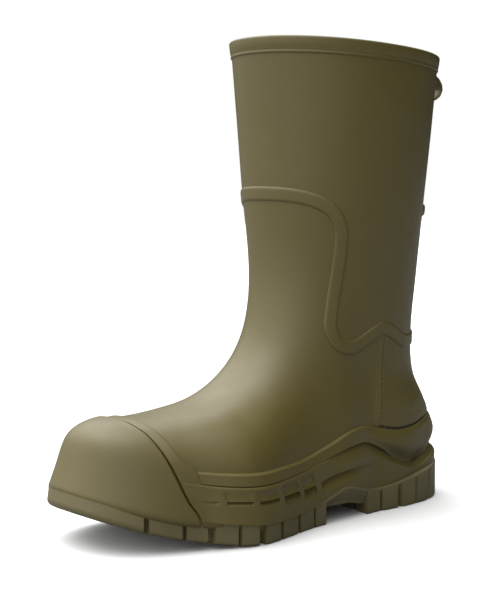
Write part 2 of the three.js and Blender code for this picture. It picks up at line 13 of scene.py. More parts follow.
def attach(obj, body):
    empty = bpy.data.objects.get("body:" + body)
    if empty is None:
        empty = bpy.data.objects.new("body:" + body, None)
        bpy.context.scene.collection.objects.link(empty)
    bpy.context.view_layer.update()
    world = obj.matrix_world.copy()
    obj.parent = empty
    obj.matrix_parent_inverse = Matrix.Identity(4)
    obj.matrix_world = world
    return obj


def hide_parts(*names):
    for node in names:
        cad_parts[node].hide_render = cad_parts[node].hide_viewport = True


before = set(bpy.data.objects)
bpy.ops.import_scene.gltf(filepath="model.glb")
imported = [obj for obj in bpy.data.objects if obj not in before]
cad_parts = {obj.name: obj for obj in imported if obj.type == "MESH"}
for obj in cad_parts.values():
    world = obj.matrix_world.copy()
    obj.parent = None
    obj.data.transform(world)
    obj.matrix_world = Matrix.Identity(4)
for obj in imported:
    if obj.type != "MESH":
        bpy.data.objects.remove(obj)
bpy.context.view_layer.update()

# ---------------------------------------------------------------------------------------------
# Leg panel: the sheet rubber of the leg, 3 mm thick, laid up over the lining and cured as one
# skin. It covers the calf above and behind the wavy seam, from the rim down to the ankle.
# ---------------------------------------------------------------------------------------------
RUBBER = 3.0
RIM_TILT = 3.7 / 60


def smooth(x):
    """Ramp from 0 to 1 with level ends: 3x^2 - 2x^3 with x held to 0..1."""
    x = np.clip(x, 0.0, 1.0)
    return x * x * (3 - 2 * x)


def through(knots):
    """A smooth line through knots (x, y), level outside them: cubic pieces whose slope at a
    knot is the slope between its two neighbours. Returned as a function of an array."""
    x, y = np.array(knots, float).T
    slope = np.zeros_like(y)
    slope[1:-1] = (y[2:] - y[:-2]) / (x[2:] - x[:-2])
    slope[0] = (y[1] - y[0]) / (x[1] - x[0])
    slope[-1] = (y[-1] - y[-2]) / (x[-1] - x[-2])
    q = np.linspace(x[0], x[-1], 1600)
    i = np.clip(np.searchsorted(x, q, side="right") - 1, 0, len(x) - 2)
    h = x[i + 1] - x[i]
    t = (q - x[i]) / h
    line = ((2 * t**3 - 3 * t**2 + 1) * y[i] + (t**3 - 2 * t**2 + t) * h * slope[i]
            + (3 * t**2 - 2 * t**3) * y[i + 1] + (t**3 - t**2) * h * slope[i + 1])
    return lambda value: np.interp(value, q, line)


# the leg by height: front, back and half width; the foot by length: widths, middle and crown
leg_front = through([(0, 50), (60, 49), (100, 51), (140, 55), (190, 61.3), (240, 65.7), (292, 71.2)])
leg_back = through([(0, -62), (35, -65), (60, -70), (85, -58), (115, -54.7), (145, -56.5),
                    (190, -59.8), (240, -65.3), (292, -71.7)])
leg_half = through([(0, 36), (35, 38), (60, 41.5), (90, 39.3), (130, 43.4), (190, 50.9),
                    (240, 54.5), (292, 56.3)])
foot_outer = through([(-40, 30), (0, 30), (50, 38), (110, 58), (150, 50), (210, 42.5)])
foot_inner = through([(-40, 30), (0, 31), (50, 36), (110, 45), (150, 43.5), (210, 40)])
foot_middle = through([(-60, -2), (100, 2.5), (210, 0)])
foot_crown = through([(-60, 95), (0, 94.5), (60, 89.7), (110, 77.1), (150, 68.6), (210, 68)])
WIDEST = 39.5            # height of the foot's fullest outline
INSTEP_FILLET = 54.0     # how wide the leg and the foot melt together over the instep
BALL, TOE_LENGTH = 118, 76
HEEL_LENGTH = 45
LEG_OVAL = 2.15          # 2 would be an ellipse, higher powers are squarer
FOOT_SCALE = 44          # turns the foot's closed form into about millimetres


def toe_spring(f):
    """How far the sole has risen from the ground: 17.5 mm at the toe, growing with the 1.8th
    power of the distance past the ball."""
    return 17.5 * np.clip((f - 105) / 89, 0, None) ** 1.8


def depth(f, l, z):
    """Signed depth below the rubber's outer face, in about millimetres. The leg is a rounded
    oval tube; the foot is a last, closed by powers of its height, width and length; where the
    two are less than a fillet apart they melt together over the instep."""
    front, back, half = leg_front(z), leg_back(z), leg_half(z)
    centre, reach_f = (front + back) / 2, (front - back) / 2
    oval = np.abs((f - centre) / reach_f) ** LEG_OVAL + np.abs(l / half) ** LEG_OVAL
    leg = (oval ** (1 / LEG_OVAL) - 1) * np.minimum(reach_f, half)
    middle = foot_middle(f)
    width = np.where(l > middle, foot_outer(f), foot_inner(f))
    above = z - toe_spring(f) - WIDEST
    ease = 1 + 8 * smooth((f - 120) / 40)
    bent = np.sqrt(above * above + ease * ease)
    up = (above + bent) / 2 / (foot_crown(f) - WIDEST)
    ahead = np.clip(f - BALL, 0, None) / TOE_LENGTH
    behind = np.clip(-f, 0, None) / HEEL_LENGTH
    flare = (0.05 + 0.2 * smooth((f - 110) / 80)) * np.clip((bent - above) / 2, 0, 40)
    total = np.abs((l - middle) / width) ** 2.6 + up**1.6 + ahead**2.75 + behind**2.5
    foot = (total ** (1 / 2.3) - 1) * FOOT_SCALE - flare
    fillet = INSTEP_FILLET * smooth((f + 25) / 60) + 1e-3
    near = np.clip(fillet - np.abs(leg - foot), 0, None) / fillet
    return np.minimum(leg, foot) - near * near * fillet / 4


def reach(start, heading, field, far):
    """Where each ray start + r * heading crosses field = 0: halving, then false position."""
    near = np.zeros(start.shape[:-1])
    out = np.full(start.shape[:-1], float(far))

    def at(r):
        return field(*np.moveaxis(start + r[..., None] * heading, -1, 0))

    for _ in range(9):
        half = (near + out) / 2
        inside = at(half) < 0
        near, out = np.where(inside, half, near), np.where(inside, out, half)
    a, b = at(near), at(out)
    for _ in range(7):
        fall = np.where(np.abs(a - b) < 1e-12, 1e-12, a - b)
        r = near + (out - near) * np.clip(a / fall, 0.02, 0.98)
        value = at(r)
        inside = value < 0
        near, a = np.where(inside, r, near), np.where(inside, value, a * 0.6)
        out, b = np.where(inside, out, r), np.where(inside, b * 0.6, value)
        a, b = np.where(inside, value, a), np.where(inside, b, value)
    return start + ((near + out) / 2)[..., None] * heading


def place(points):
    """Millimetres (f, l, z) to the frame's metres, with the rim's lean to the front added."""
    f, l, z = np.moveaxis(np.asarray(points, float), -1, 0)
    z = z + RIM_TILT * f * np.clip((z - 200) / 92, 0, 1)
    return np.stack([l, -f, z], -1) * 0.001


# stations of the skin, from the rim (0) down the leg, round the ankle and to the toe (1)
spine_f = through([(0, 0), (0.25, 0), (0.4, 2), (0.5, 10), (0.6, 25), (0.7, 50), (0.8, 85),
                   (0.9, 120), (1, 150)])
spine_z = through([(0, 292), (0.25, 200), (0.4, 140), (0.5, 105), (0.6, 78), (0.7, 60),
                   (0.8, 52), (0.9, 50), (1, 48)])
spine_lean = through([(0, 0), (0.25, 0), (0.4, 0), (0.5, 18), (0.6, 42), (0.7, 64), (0.8, 80),
                      (0.9, 88), (1, 92)])
SOLE_CORNER = 5.0        # size of the rounded corner where the sides turn in underneath
PAST_THE_TOE = 330.0     # longest ray that is ever needed
floor_z = through([(-70, 26), (10, 26), (40, 23), (70, 19), (95, 17.3), (220, 17)])


def skin(u, v, stand, floor):
    """A point of the skin: v along the spine (past 1 it bends down round the toe to the pole
    at 2), u round the section plane, standing proud of the rubber's face by stand, a number
    or a function of f and z; floor is how far its underside lies above the shell's own."""
    u, v = np.broadcast_arrays(u, v)
    w = np.minimum(v, 1)
    lean = np.radians(spine_lean(w))
    bend = np.clip(v - 1, 0, 1) * np.pi / 2
    heading = np.stack([np.cos(lean) * np.cos(u) * np.cos(bend) + np.sin(lean) * np.sin(bend),
                        np.sin(u) * np.cos(bend),
                        np.sin(lean) * np.cos(u) * np.cos(bend) - np.cos(lean) * np.sin(bend)], -1)
    start = np.stack([spine_f(w), 0 * w, spine_z(w)], -1)

    def field(f, l, z):
        side = depth(f, l, z) - (stand(f, z) if callable(stand) else stand)
        under = floor_z(f) + floor + toe_spring(f) - z
        near = np.clip(SOLE_CORNER - np.abs(side - under), 0, None)
        return np.maximum(side, under) + near * near / SOLE_CORNER / 4

    return reach(start, heading, field, PAST_THE_TOE)


def place_keys(points):
    """Whole numbers that say where points lie, in tenths of a thousandth of a millimetre."""
    return np.round(np.asarray(points, float).reshape(-1, 3) * 1e7).astype(np.int64)


def mesh_object(name, verts, faces, body="root", sharp=40):
    """Faces (blocks of corner numbers) as a shaded object that rides on a body. Corners at
    one place are merged, and edges bent more than sharp degrees stay crisp."""
    verts = np.asarray(verts, float).reshape(-1, 3)
    _, first, merged = np.unique(place_keys(verts), axis=0, return_index=True, return_inverse=True)
    rows = []
    for block in faces:
        block = merged.ravel()[block]
        same = block == np.roll(block, -1, 1)
        rows += block[~same.any(1)].tolist()
        once = same.sum(1) == 1
        rows += [[c for c, gone in zip(q, d) if not gone] for q, d in zip(block[once], same[once])]
    mesh = bpy.data.meshes.new(name)
    mesh.from_pydata(verts[first].tolist(), [], rows)
    mesh.validate()
    mesh.shade_smooth()
    mesh.set_sharp_from_angle(angle=np.radians(sharp))
    obj = bpy.data.objects.new(name, mesh)
    bpy.context.scene.collection.objects.link(obj)
    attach(obj, body)
    return obj


def finish(piece, material, node=None):
    """Gives a piece its material and slot, and hides the CAD node that it stands for."""
    if node:
        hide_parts(node)
    piece.data.materials.append(material)


def two_faced(outer, inner, keep):
    """Corner numbers of a sheet with two faces on one grid that closes round u: the kept
    squares of both faces, and walls wherever a kept square has no kept neighbour."""
    rows, cols = outer.shape[:2]
    number = np.arange(rows * cols).reshape(rows, cols)
    nxt = np.roll(number, -1, 1)
    a, b, c, d = number[:-1], number[1:], nxt[1:], nxt[:-1]
    gap = rows * cols
    top = np.stack([a, b, c, d], -1)[keep]
    low = np.stack([a, d, c, b], -1)[keep] + gap
    walls = []
    pad = np.pad(keep, ((1, 1), (0, 0)))
    for mine, other, p, q in ((keep, pad[:-2], a, d), (keep, pad[2:], c, b),
                              (keep, np.roll(keep, 1, 1), b, a), (keep, np.roll(keep, -1, 1), d, c)):
        edge = mine & ~other
        walls.append(np.stack([p[edge] + gap, p[edge], q[edge], q[edge] + gap], -1)[:, ::-1])
    return np.vstack([outer.reshape(-1, 3), inner.reshape(-1, 3)]), [top, low] + walls


def inside_outline(f, z, outline):
    """Which points lie inside a closed side-view outline: an odd count of edges to the right."""
    hit = np.zeros(np.shape(f), bool)
    ends = np.roll(outline, -1, 0)
    for (f0, z0), (f1, z1) in zip(outline, ends):
        if z0 != z1:
            hit ^= ((z0 > z) != (z1 > z)) & (f < (f1 - f0) * (z - z0) / (z1 - z0) + f0)
    return hit


# side view of the wavy seam, from the shin over the side and down to the back of the heel
SEAM = np.array([(95, 204), (66, 202.4), (53.2, 199.8), (42.9, 195), (36.4, 188.4), (32.7, 178.6),
                 (32.2, 165), (33.2, 150), (35.6, 130), (36.4, 119), (32.6, 110.5), (26, 106.8),
                 (17.5, 106.8), (9, 110.7), (1.1, 115.2), (-4.8, 117.1), (-13.8, 113.9), (-21, 110),
                 (-29, 107.2), (-40, 107.2), (-52, 109), (-90, 110)], float)
COUNTER_SEAM = -3.0

ROUND = 192              # corners round the skin
u_round = np.linspace(0, 2 * np.pi, ROUND, endpoint=False)[None, :]
v_down = np.concatenate([np.linspace(0, 0.47, 120)[:-1], np.linspace(0.47, 0.63, 90)[:-1],
                         np.linspace(0.63, 1, 90)[:-1], 1 + np.linspace(0, 1, 70) ** 1.15])[:, None]
shell_outer = skin(u_round, v_down, 0.0, 0.0)
shell_inner = skin(u_round, v_down, -RUBBER, RUBBER)
middle_of = (shell_outer[:-1] + shell_outer[1:]) / 2
BELOW_THE_BOOT = [(-95, -40), (240, -40), (240, 204)]
below_seam = inside_outline(middle_of[..., 0], middle_of[..., 2], np.vstack([SEAM, BELOW_THE_BOOT]))
front_half = middle_of[..., 0] > COUNTER_SEAM


def shader(name):
    """A material with its node tree, and its Principled shader wired to the output."""
    material = bpy.data.materials.new(name)
    material.use_nodes = True
    tree = material.node_tree
    tree.nodes.clear()
    out = tree.nodes.new("ShaderNodeOutputMaterial")
    principled = tree.nodes.new("ShaderNodeBsdfPrincipled")
    tree.links.new(principled.outputs["BSDF"], out.inputs["Surface"])
    return material, tree, principled


def node_group(name, inputs, outputs):
    """A shader group with its sockets, name -> (kind, value), and its two end nodes."""
    group = bpy.data.node_groups.new(name, "ShaderNodeTree")
    for label, (kind, value) in inputs.items():
        socket = group.interface.new_socket(name=label, in_out="INPUT", socket_type=kind)
        socket.default_value = value
    for label, kind in outputs.items():
        group.interface.new_socket(name=label, in_out="OUTPUT", socket_type=kind)
    return group, group.nodes.new("NodeGroupInput").outputs, group.nodes.new("NodeGroupOutput")


def fill(tree, node, **values):
    """Sets a node's properties and inputs, and links an input where the value is a socket.
    An input's name is written with _ for a space."""
    for key, value in values.items():
        label = key.replace("_", " ")
        if isinstance(value, bpy.types.NodeSocket):
            tree.links.new(value, node.inputs[label])
        elif hasattr(node, key):
            setattr(node, key, value)
        else:
            node.inputs[label].default_value = value
    return node


def add(tree, kind, **values):
    """The outputs of a new node that is filled with values."""
    return fill(tree, tree.nodes.new(kind), **values).outputs


def maths(tree, operation, *values):
    """One sum on sockets or numbers, in the node's own order."""
    node = tree.nodes.new("ShaderNodeMath")
    node.operation = operation
    for socket, value in zip(node.inputs, values):
        if isinstance(value, bpy.types.NodeSocket):
            tree.links.new(value, socket)
        else:
            socket.default_value = value
    return node.outputs[0]


def noise(tree, spot, scale, detail, roughness, distortion=0.0):
    """Cloudy grey, about 0.5 on average, at a place."""
    return add(tree, "ShaderNodeTexNoise", Vector=spot, Scale=scale, Detail=detail,
               Roughness=roughness, Distortion=distortion)["Fac"]


def stretch(tree, value, low, high, to_low, to_high):
    """The range low..high of a value carried onto to_low..to_high and held there."""
    return add(tree, "ShaderNodeMapRange", Value=value, From_Min=low, From_Max=high,
               To_Min=to_low, To_Max=to_high)["Result"]


def blend(tree, factor, a, b):
    """Colour a at factor 0, colour b at factor 1."""
    return add(tree, "ShaderNodeMix", data_type="RGBA", Factor=factor, A=a, B=b)["Result"]


def relief(tree, height, strength, distance, **under):
    """Shading as if the face rose by height times distance, on top of the relief under it."""
    return add(tree, "ShaderNodeBump", Height=height, Strength=strength, Distance=distance,
               **under)["Normal"]


# the cured rubber's surface: a slow cloudiness in tone and gloss, the soft waviness of
# hand-laid sheet, a fine matte grain, and small scuffs
SURFACE = {"Color": "NodeSocketColor", "Roughness": "NodeSocketFloat", "Normal": "NodeSocketVector"}
cured, cured_in, cured_out = node_group("cured_rubber", {
    "Tone": ("NodeSocketColor", (0.11, 0.094, 0.042, 1)),
    "Bloom": ("NodeSocketColor", (0.19, 0.18, 0.13, 1)),
    "Gloss": ("NodeSocketFloat", 0.5),
    "Grain": ("NodeSocketFloat", 1.0),
}, SURFACE)
spot = add(cured, "ShaderNodeTexCoord")["Object"]
cloud = noise(cured, spot, 22.0, 4.0, 0.55)
haze = noise(cured, spot, 95.0, 6.0, 0.62)
wave = noise(cured, spot, 34.0, 2.0, 0.4)
grain = noise(cured, spot, 1500.0, 3.0, 0.6)
scuff = noise(cured, spot, 260.0, 5.0, 0.7, 1.4)
bloom = maths(cured, "ADD", stretch(cured, cloud, 0.3, 0.7, 0.0, 0.16),
              stretch(cured, haze, 0.52, 0.78, 0.0, 0.22))
bloom = maths(cured, "ADD", bloom, stretch(cured, scuff, 0.66, 0.8, 0.0, 0.3))
sheet_wave = relief(cured, wave, 0.35, 0.0012)
fill(cured, cured_out, Color=blend(cured, bloom, cured_in["Tone"], cured_in["Bloom"]),
     Roughness=maths(cured, "ADD", cured_in["Gloss"], stretch(cured, haze, 0.3, 0.7, -0.05, 0.06)),
     Normal=relief(cured, maths(cured, "MULTIPLY", grain, cured_in["Grain"]), 0.5, 0.00009,
                   Normal=sheet_wave))
# painted shade: the dark colour that grooves and the undersides of overhangs are blended towards
GROOVE_SHADE_COLOUR = (0.024, 0.018, 0.007, 1)


def rubber_material(name, tone, bloom, gloss, grain_size):
    """Cured rubber: the shared surface with its own tone, haze, gloss and grain, darkened by a
    mesh attribute that paints shade into grooves and under overhangs."""
    material, tree, principled = shader(name)
    surface = add(tree, "ShaderNodeGroup", node_tree=cured, Tone=(*tone, 1), Bloom=(*bloom, 1),
                  Gloss=gloss, Grain=grain_size)
    # painted shade read from the mesh: 0 in the open, up to 1 in the deepest groove
    painted_groove_shade = add(tree, "ShaderNodeAttribute", attribute_name="painted_groove_shade")["Fac"]
    fill(tree, principled, Base_Color=blend(tree, painted_groove_shade, surface["Color"], GROOVE_SHADE_COLOUR),
         Roughness=surface["Roughness"], Normal=surface["Normal"])
    return material


OLIVE = (0.114, 0.092, 0.024)
OLIVE_BLOOM = (0.136, 0.114, 0.042)
skin_rubber = rubber_material("olive_skin_rubber", OLIVE, OLIVE_BLOOM, 0.41, 1.0)


def panel(name, node, squares):
    """A panel of the leg and foot: the squares of the shell's two faces that it covers."""
    piece = mesh_object(name, *two_faced(place(shell_outer), place(shell_inner), squares))
    finish(piece, skin_rubber, node)


panel("leg_panel_skin", "leg_panel", ~below_seam)

# ---------------------------------------------------------------------------------------------
# Vamp panel: one piece of the same sheet over the shin, instep and forefoot, turned in under
# the insole board and closed over the toe. The wavy band covers its upper edge.
# ---------------------------------------------------------------------------------------------
panel("vamp_panel_skin", "vamp_panel", below_seam & front_half)

# ---------------------------------------------------------------------------------------------
# Heel counter panel: a separate, stiffer piece of sheet round the heel, lapped under the vamp
# at an upright seam on each side of the ankle.
# ---------------------------------------------------------------------------------------------
panel("heel_counter_panel_skin", "heel_counter_panel", below_seam & ~front_half)

# ---------------------------------------------------------------------------------------------
# Seam band: an extruded rubber strip, 8.6 mm wide and 1.1 mm proud, pressed over the
# joint of leg, vamp and counter. It runs round the boot as one closed, wavy ring.
# ---------------------------------------------------------------------------------------------


def uphill(points):
    """Unit direction straight out of the rubber's face, and the field's own steepness."""
    step = 0.05
    f, l, z = np.moveaxis(points, -1, 0)
    slope = np.stack([depth(f + step, l, z) - depth(f - step, l, z),
                      depth(f, l + step, z) - depth(f, l - step, z),
                      depth(f, l, z + step) - depth(f, l, z - step)], -1) / (2 * step)
    size = np.linalg.norm(slope, axis=-1, keepdims=True)
    return slope / size, size[..., 0]


def press_on(points, height):
    """Moves points along the face's own outward direction until they stand height above it."""
    for _ in range(4):
        out, steep = uphill(points)
        off = depth(*np.moveaxis(points, -1, 0)) / steep - height
        points = points - out * off[..., None]
    return points


def length_along(path):
    """How far each point of a path lies from its start, along it."""
    return np.concatenate([[0], np.cumsum(np.linalg.norm(np.diff(path, axis=0), axis=1))])


def even(path, count, closed=False):
    """The path again with count points at equal spacing along its length."""
    if closed:
        path = np.vstack([path, path[:1]])
    run = length_along(path)
    at = np.linspace(0, run[-1], count + closed)[:count]
    return np.stack([np.interp(at, run, path[:, i]) for i in range(3)], -1)


def side_trace(outline, side, count=900):
    """A side-view line laid on one side of the boot: (f, z) along the line, and l where a ray
    across the boot meets the skin. Only the stretch that lies within the boot is kept, with
    points crowded towards its ends, where the skin turns away."""
    run = length_along(outline)
    f_of = through(list(zip(run, outline[:, 0])))
    z_of = through(list(zip(run, outline[:, 1])))
    s = np.linspace(0, run[-1], 4000)
    within = depth(f_of(s), 0 * s, z_of(s)) < -0.02
    first, last = s[within][0], s[within][-1]
    s = first + (last - first) * (1 - np.cos(np.linspace(0, np.pi, count))) / 2
    start = np.stack([f_of(s), 0 * s, z_of(s)], -1)
    return reach(start, np.array([0.0, side, 0.0]), depth, 90)


def swept(path, profile, closed):
    """A strip along a path on the skin, as rings of corners. The profile's rows are (offset
    across, height): each corner goes sideways from the path by its offset, then stands its
    height above the face."""
    out, _ = uphill(path)
    ahead = np.gradient(path, axis=0)
    if closed:
        ahead = np.roll(path, -1, 0) - np.roll(path, 1, 0)
    ahead /= np.linalg.norm(ahead, axis=1, keepdims=True)
    across = np.cross(out, ahead)
    across /= np.linalg.norm(across, axis=1, keepdims=True)
    profile = np.broadcast_to(profile, (len(path), len(profile), 2))
    points = path[:, None] + across[:, None] * profile[..., :1]
    return press_on(points, profile[..., 1])


def tube_faces(rows, cols, closed):
    """Corner numbers of a tube of rows rings with cols corners; open tubes get end caps."""
    number = np.arange(rows * cols).reshape(rows, cols)
    nxt = np.roll(number, -1, 1)
    ahead = np.roll(number, -1, 0) if closed else number[1:]
    ahead_nxt = np.roll(nxt, -1, 0) if closed else nxt[1:]
    here, here_nxt = (number, nxt) if closed else (number[:-1], nxt[:-1])
    quads = np.stack([here, here_nxt, ahead_nxt, ahead], -1).reshape(-1, 4)
    return [quads] if closed else [quads, number[:1, ::-1], number[-1:]]


def corners_of(obj):
    """The places of a mesh's corners."""
    corner = np.zeros(len(obj.data.vertices) * 3)
    obj.data.vertices.foreach_get("co", corner)
    return corner.reshape(-1, 3)


def outward(obj):
    """Turns the faces out if the mesh holds a negative volume."""
    obj.data.calc_loop_triangles()
    tri = np.zeros(len(obj.data.loop_triangles) * 3, np.int64)
    obj.data.loop_triangles.foreach_get("vertices", tri)
    a, b, c = np.moveaxis(corners_of(obj)[tri.reshape(-1, 3)], 1, 0)
    if np.einsum("ij,ij->", a, np.cross(b, c)) < 0:
        obj.data.flip_normals()
    return obj


def bar_piece(name, rings, node=None, closed=False, sharp=40):
    """A solid piece of the skin's rubber from rings of corners (f, l, z), one after the other."""
    faces = tube_faces(*rings.shape[:2], closed)
    piece = outward(mesh_object(name, place(rings), faces, sharp=sharp))
    finish(piece, skin_rubber, node)
    return piece


def raised_profile(half, tall, edge, under):
    """Closed section of a strip: flat top at tall with quarter-round edges of size edge, and
    an underside pressed into the face."""
    turn = np.linspace(0, np.pi / 2, 9)
    left = np.stack([-half + edge * (1 - np.cos(turn)), tall * np.sin(turn)], -1)
    right = left[::-1] * (-1, 1)
    top = np.stack([np.linspace(-half + edge, half - edge, 5)[1:-1], np.full(3, tall)], -1)
    return np.vstack([[(-half, under)], left, top, right, [(half, under)]])


seam_path = np.vstack([side_trace(SEAM, 1), side_trace(SEAM, -1)[::-1]])
seam_path = even(press_on(seam_path, 0.0), 760, closed=True)
BAND_HALF, BAND_TALL, BAND_EDGE, BAND_UNDER = 4.3, 1.1, 1.9, -0.25
band_section = raised_profile(BAND_HALF, BAND_TALL, BAND_EDGE, BAND_UNDER)
bar_piece("seam_band_strip", swept(seam_path, band_section, True), "seam_band", closed=True)

# ---------------------------------------------------------------------------------------------
# Linings: a cotton jersey stocking, 1.6 mm thick, bonded inside the rubber. The leg part hangs
# from the rim band to the ankle; the foot part closes over the toe and under the insole.
# ---------------------------------------------------------------------------------------------
CUFF, ANKLE = 0.021, 0.5     # stations where the leg part begins and where the two parts meet
JERSEY, GLUE = 1.6, 0.3
LINING_FLOOR = RUBBER + 3.0
WALES, COURSE = 300, 1.3     # stitches round the boot, and the length of one stitch in mm


def deeper(f, z):
    """Extra depth where a stiffener lies behind the rubber, at the heel and at the toe."""
    heel = smooth((42 - f) / 22) * smooth((108 - z) / 20)
    return np.maximum(heel, smooth((f - 120) / 16)) * 1.6


def found_again(obj, points, values):
    """The values that go with points, in the order of a mesh's own corners, which are found
    again by their place; 0 where a corner is none of the points."""
    known = {tuple(k): v for k, v in zip(place_keys(place(points)).tolist(), values.tolist())}
    none = np.zeros(values.shape[1:]).tolist()
    return np.array([known.get(tuple(k), none) for k in place_keys(corners_of(obj)).tolist()])


def knit_uv(obj, points):
    """UV in stitches: u counts wales round the leg, v counts courses down it. A face that
    crosses the seam of u goes on counting past the last wale."""
    rows, columns = points.shape[:2]
    length = np.linalg.norm(np.diff(points, axis=0), axis=-1).mean(1)
    course = np.concatenate([[0], np.cumsum(length)]) / COURSE
    wale = np.linspace(0, WALES, columns, endpoint=False)
    stitches = np.stack(np.broadcast_arrays(wale[None], course[:, None]), -1).reshape(-1, 2)
    corner_of, starts, sizes = (np.zeros(len(part), int) for part in
                                (obj.data.loops, obj.data.polygons, obj.data.polygons))
    obj.data.loops.foreach_get("vertex_index", corner_of)
    obj.data.polygons.foreach_get("loop_start", starts)
    obj.data.polygons.foreach_get("loop_total", sizes)
    uv = found_again(obj, points, stitches)[corner_of]
    widest = np.repeat(np.maximum.reduceat(uv[:, 0], starts), sizes)
    uv[:, 0] += WALES * (widest - uv[:, 0] > WALES / 2)
    obj.data.uv_layers.new(name="knit").data.foreach_set("uv", uv.ravel())


# a wale is a column of V stitches: height |sin(pi u)|, each V leaning as v goes by
knit, knit_tree, knit_shader = shader("cotton_jersey")
knit_map = add(knit_tree, "ShaderNodeUVMap", uv_map="knit")["UV"]
knit_at = add(knit_tree, "ShaderNodeSeparateXYZ", Vector=knit_map)
wale_turn = maths(knit_tree, "MULTIPLY", knit_at["X"], np.pi)
wale_wave = maths(knit_tree, "ABSOLUTE", maths(knit_tree, "SINE", wale_turn))
leaning = maths(knit_tree, "ADD", knit_at["Y"], maths(knit_tree, "PINGPONG", knit_at["X"], 0.5))
course_wave = maths(knit_tree, "SINE", maths(knit_tree, "MULTIPLY", leaning, 2 * np.pi))
stitch = maths(knit_tree, "MULTIPLY", wale_wave,
               maths(knit_tree, "MULTIPLY_ADD", course_wave, 0.3, 0.5))
fuzz = noise(knit_tree, add(knit_tree, "ShaderNodeTexCoord")["Object"], 420.0, 5.0, 0.7)
yarn = maths(knit_tree, "MULTIPLY", stretch(knit_tree, stitch, 0.0, 0.4, 0.0, 1.0), fuzz)
fill(knit_tree, knit_shader, Roughness=0.95, Sheen_Weight=0.25,
     Base_Color=blend(knit_tree, yarn, (0.075, 0.070, 0.055, 1), (0.19, 0.18, 0.145, 1)),
     Normal=relief(knit_tree, stitch, 0.8, 0.0004))

leg_stations = np.linspace(CUFF, ANKLE, 150)
foot_stations = np.concatenate([np.linspace(ANKLE + 0.003, 1, 130), 1 + np.linspace(0, 1, 46)[1:]])
for name, stations in (("leg_lining", leg_stations), ("foot_lining", foot_stations)):
    faces_of_jersey = [
        skin(u_round, stations[:, None], lambda f, z: -RUBBER - GLUE - thick - deeper(f, z),
             LINING_FLOOR + thick) for thick in (0.0, JERSEY)]
    all_squares = np.ones((len(stations) - 1, ROUND), bool)
    sheet = mesh_object(name + "_jersey", *two_faced(*map(place, faces_of_jersey), all_squares))
    knit_uv(sheet, faces_of_jersey[1])
    finish(sheet, knit, name)

# ---------------------------------------------------------------------------------------------
# Heel seam strips: a thin flat overlay down each side of the ankle, covering the joint of vamp
# and counter, with one row of moulded stitches behind it.
# ---------------------------------------------------------------------------------------------
STRIP_LINE = np.array([(-3.2, 113.5), (-2.9, 100), (-2.9, 82), (-1.6, 68), (0.8, 55)], float)
STRIP_SECTION = np.array([(-2.6, -0.3), (-2.6, 0.0), (-2.2, 0.14), (-1.2, 0.3), (0.4, 0.5),
                          (1.6, 0.85), (2.0, 0.85), (2.3, 0.65), (2.45, 0.2), (2.5, -0.3)])
STITCHES_BEHIND = 3.9


def upright_line(side, back, count):
    """The counter's upright seam on one side, moved back, as count even points."""
    trace = side_trace(STRIP_LINE - (back, 0), side, 260)
    return even(press_on(trace, 0.0), count)


for name, side in (("heel_seam_strip_outer", 1), ("heel_seam_strip_inner", -1)):
    bar_piece(name + "_overlay", swept(upright_line(side, 0, 120), STRIP_SECTION * (side, 1), False),
              node=name)

# the stitches: small rounded bars, 1.9 mm long and a third of a millimetre high
BAR_LONG, BAR_WIDE, BAR_HIGH = 0.95, 0.42, 0.34
bar_turn, bar_run = np.meshgrid(np.linspace(0, 2 * np.pi, 8, endpoint=False), np.linspace(0, np.pi, 5))
bar = np.stack([BAR_LONG * -np.cos(bar_run), BAR_WIDE * np.sin(bar_run) * np.cos(bar_turn),
                BAR_HIGH * np.sin(bar_run) * np.sin(bar_turn)], -1)


def stitched(line, pitch, height):
    """One bar of thread at every pitch along a line on the skin: its own length along the
    line, its width across it and its height out of the rubber's face."""
    run = length_along(line)
    at = np.arange(pitch, run[-1] - pitch / 2, pitch)
    spot = press_on(np.stack([np.interp(at, run, line[:, i]) for i in range(3)], -1), height)
    ahead = np.stack([np.interp(at, run, np.gradient(line[:, i], run)) for i in range(3)], -1)
    ahead /= np.linalg.norm(ahead, axis=1, keepdims=True)
    out, _ = uphill(spot)
    across = np.cross(out, ahead)
    points = spot[:, None, None]
    for part, way in enumerate((ahead, across, out)):
        points = points + bar[..., part:part + 1] * way[:, None, None]
    number = np.arange(points[..., 0].size).reshape(points.shape[:3])
    nxt = np.roll(number, -1, 2)
    faces = np.stack([number[:, :-1], nxt[:, :-1], nxt[:, 1:], number[:, 1:]], -1).reshape(-1, 4)
    return points.reshape(-1, 3), faces


def stitch_piece(name, rows_of_bars, material):
    """All the stitches of a seam as one piece: each row has its corners and its faces."""
    before = np.cumsum([0] + [len(corners) for corners, _ in rows_of_bars])
    faces = [row + shift for (_, row), shift in zip(rows_of_bars, before)]
    corners = np.vstack([corners for corners, _ in rows_of_bars])
    finish(outward(mesh_object(name, place(corners), faces, sharp=80)), material)


# a lighter copy of the olive rubber for the heel stitches: a painted highlight in place of the light that
# the low bars would catch
stitch_rubber_painted_highlight = rubber_material("olive_stitch_rubber", (0.175, 0.148, 0.055), (0.2, 0.175, 0.08),
                                0.5, 1.0)
stitch_piece("heel_seam_stitches", [stitched(upright_line(side, STITCHES_BEHIND, 200), 3.1, 0.14)
                                    for side in (1, -1)], stitch_rubber_painted_highlight)

# ---------------------------------------------------------------------------------------------
# Rim band: a strip of the same rubber rolled over the top edge of the leg, 10 mm deep outside
# and inside, which finishes the mouth and holds the top of the lining.
# ---------------------------------------------------------------------------------------------


def level_ring(turn, z, stand):
    """Points round the leg at heights z, standing proud of its face: rays from the leg's
    middle, one per angle."""
    turn, z, stand = np.broadcast_arrays(turn, z, stand)
    start = np.stack([0 * z, 0 * z, z], -1)
    heading = np.stack([np.cos(turn), np.sin(turn), 0 * z], -1)
    return reach(start, heading, lambda f, l, h: depth(f, l, h) - stand, 120)


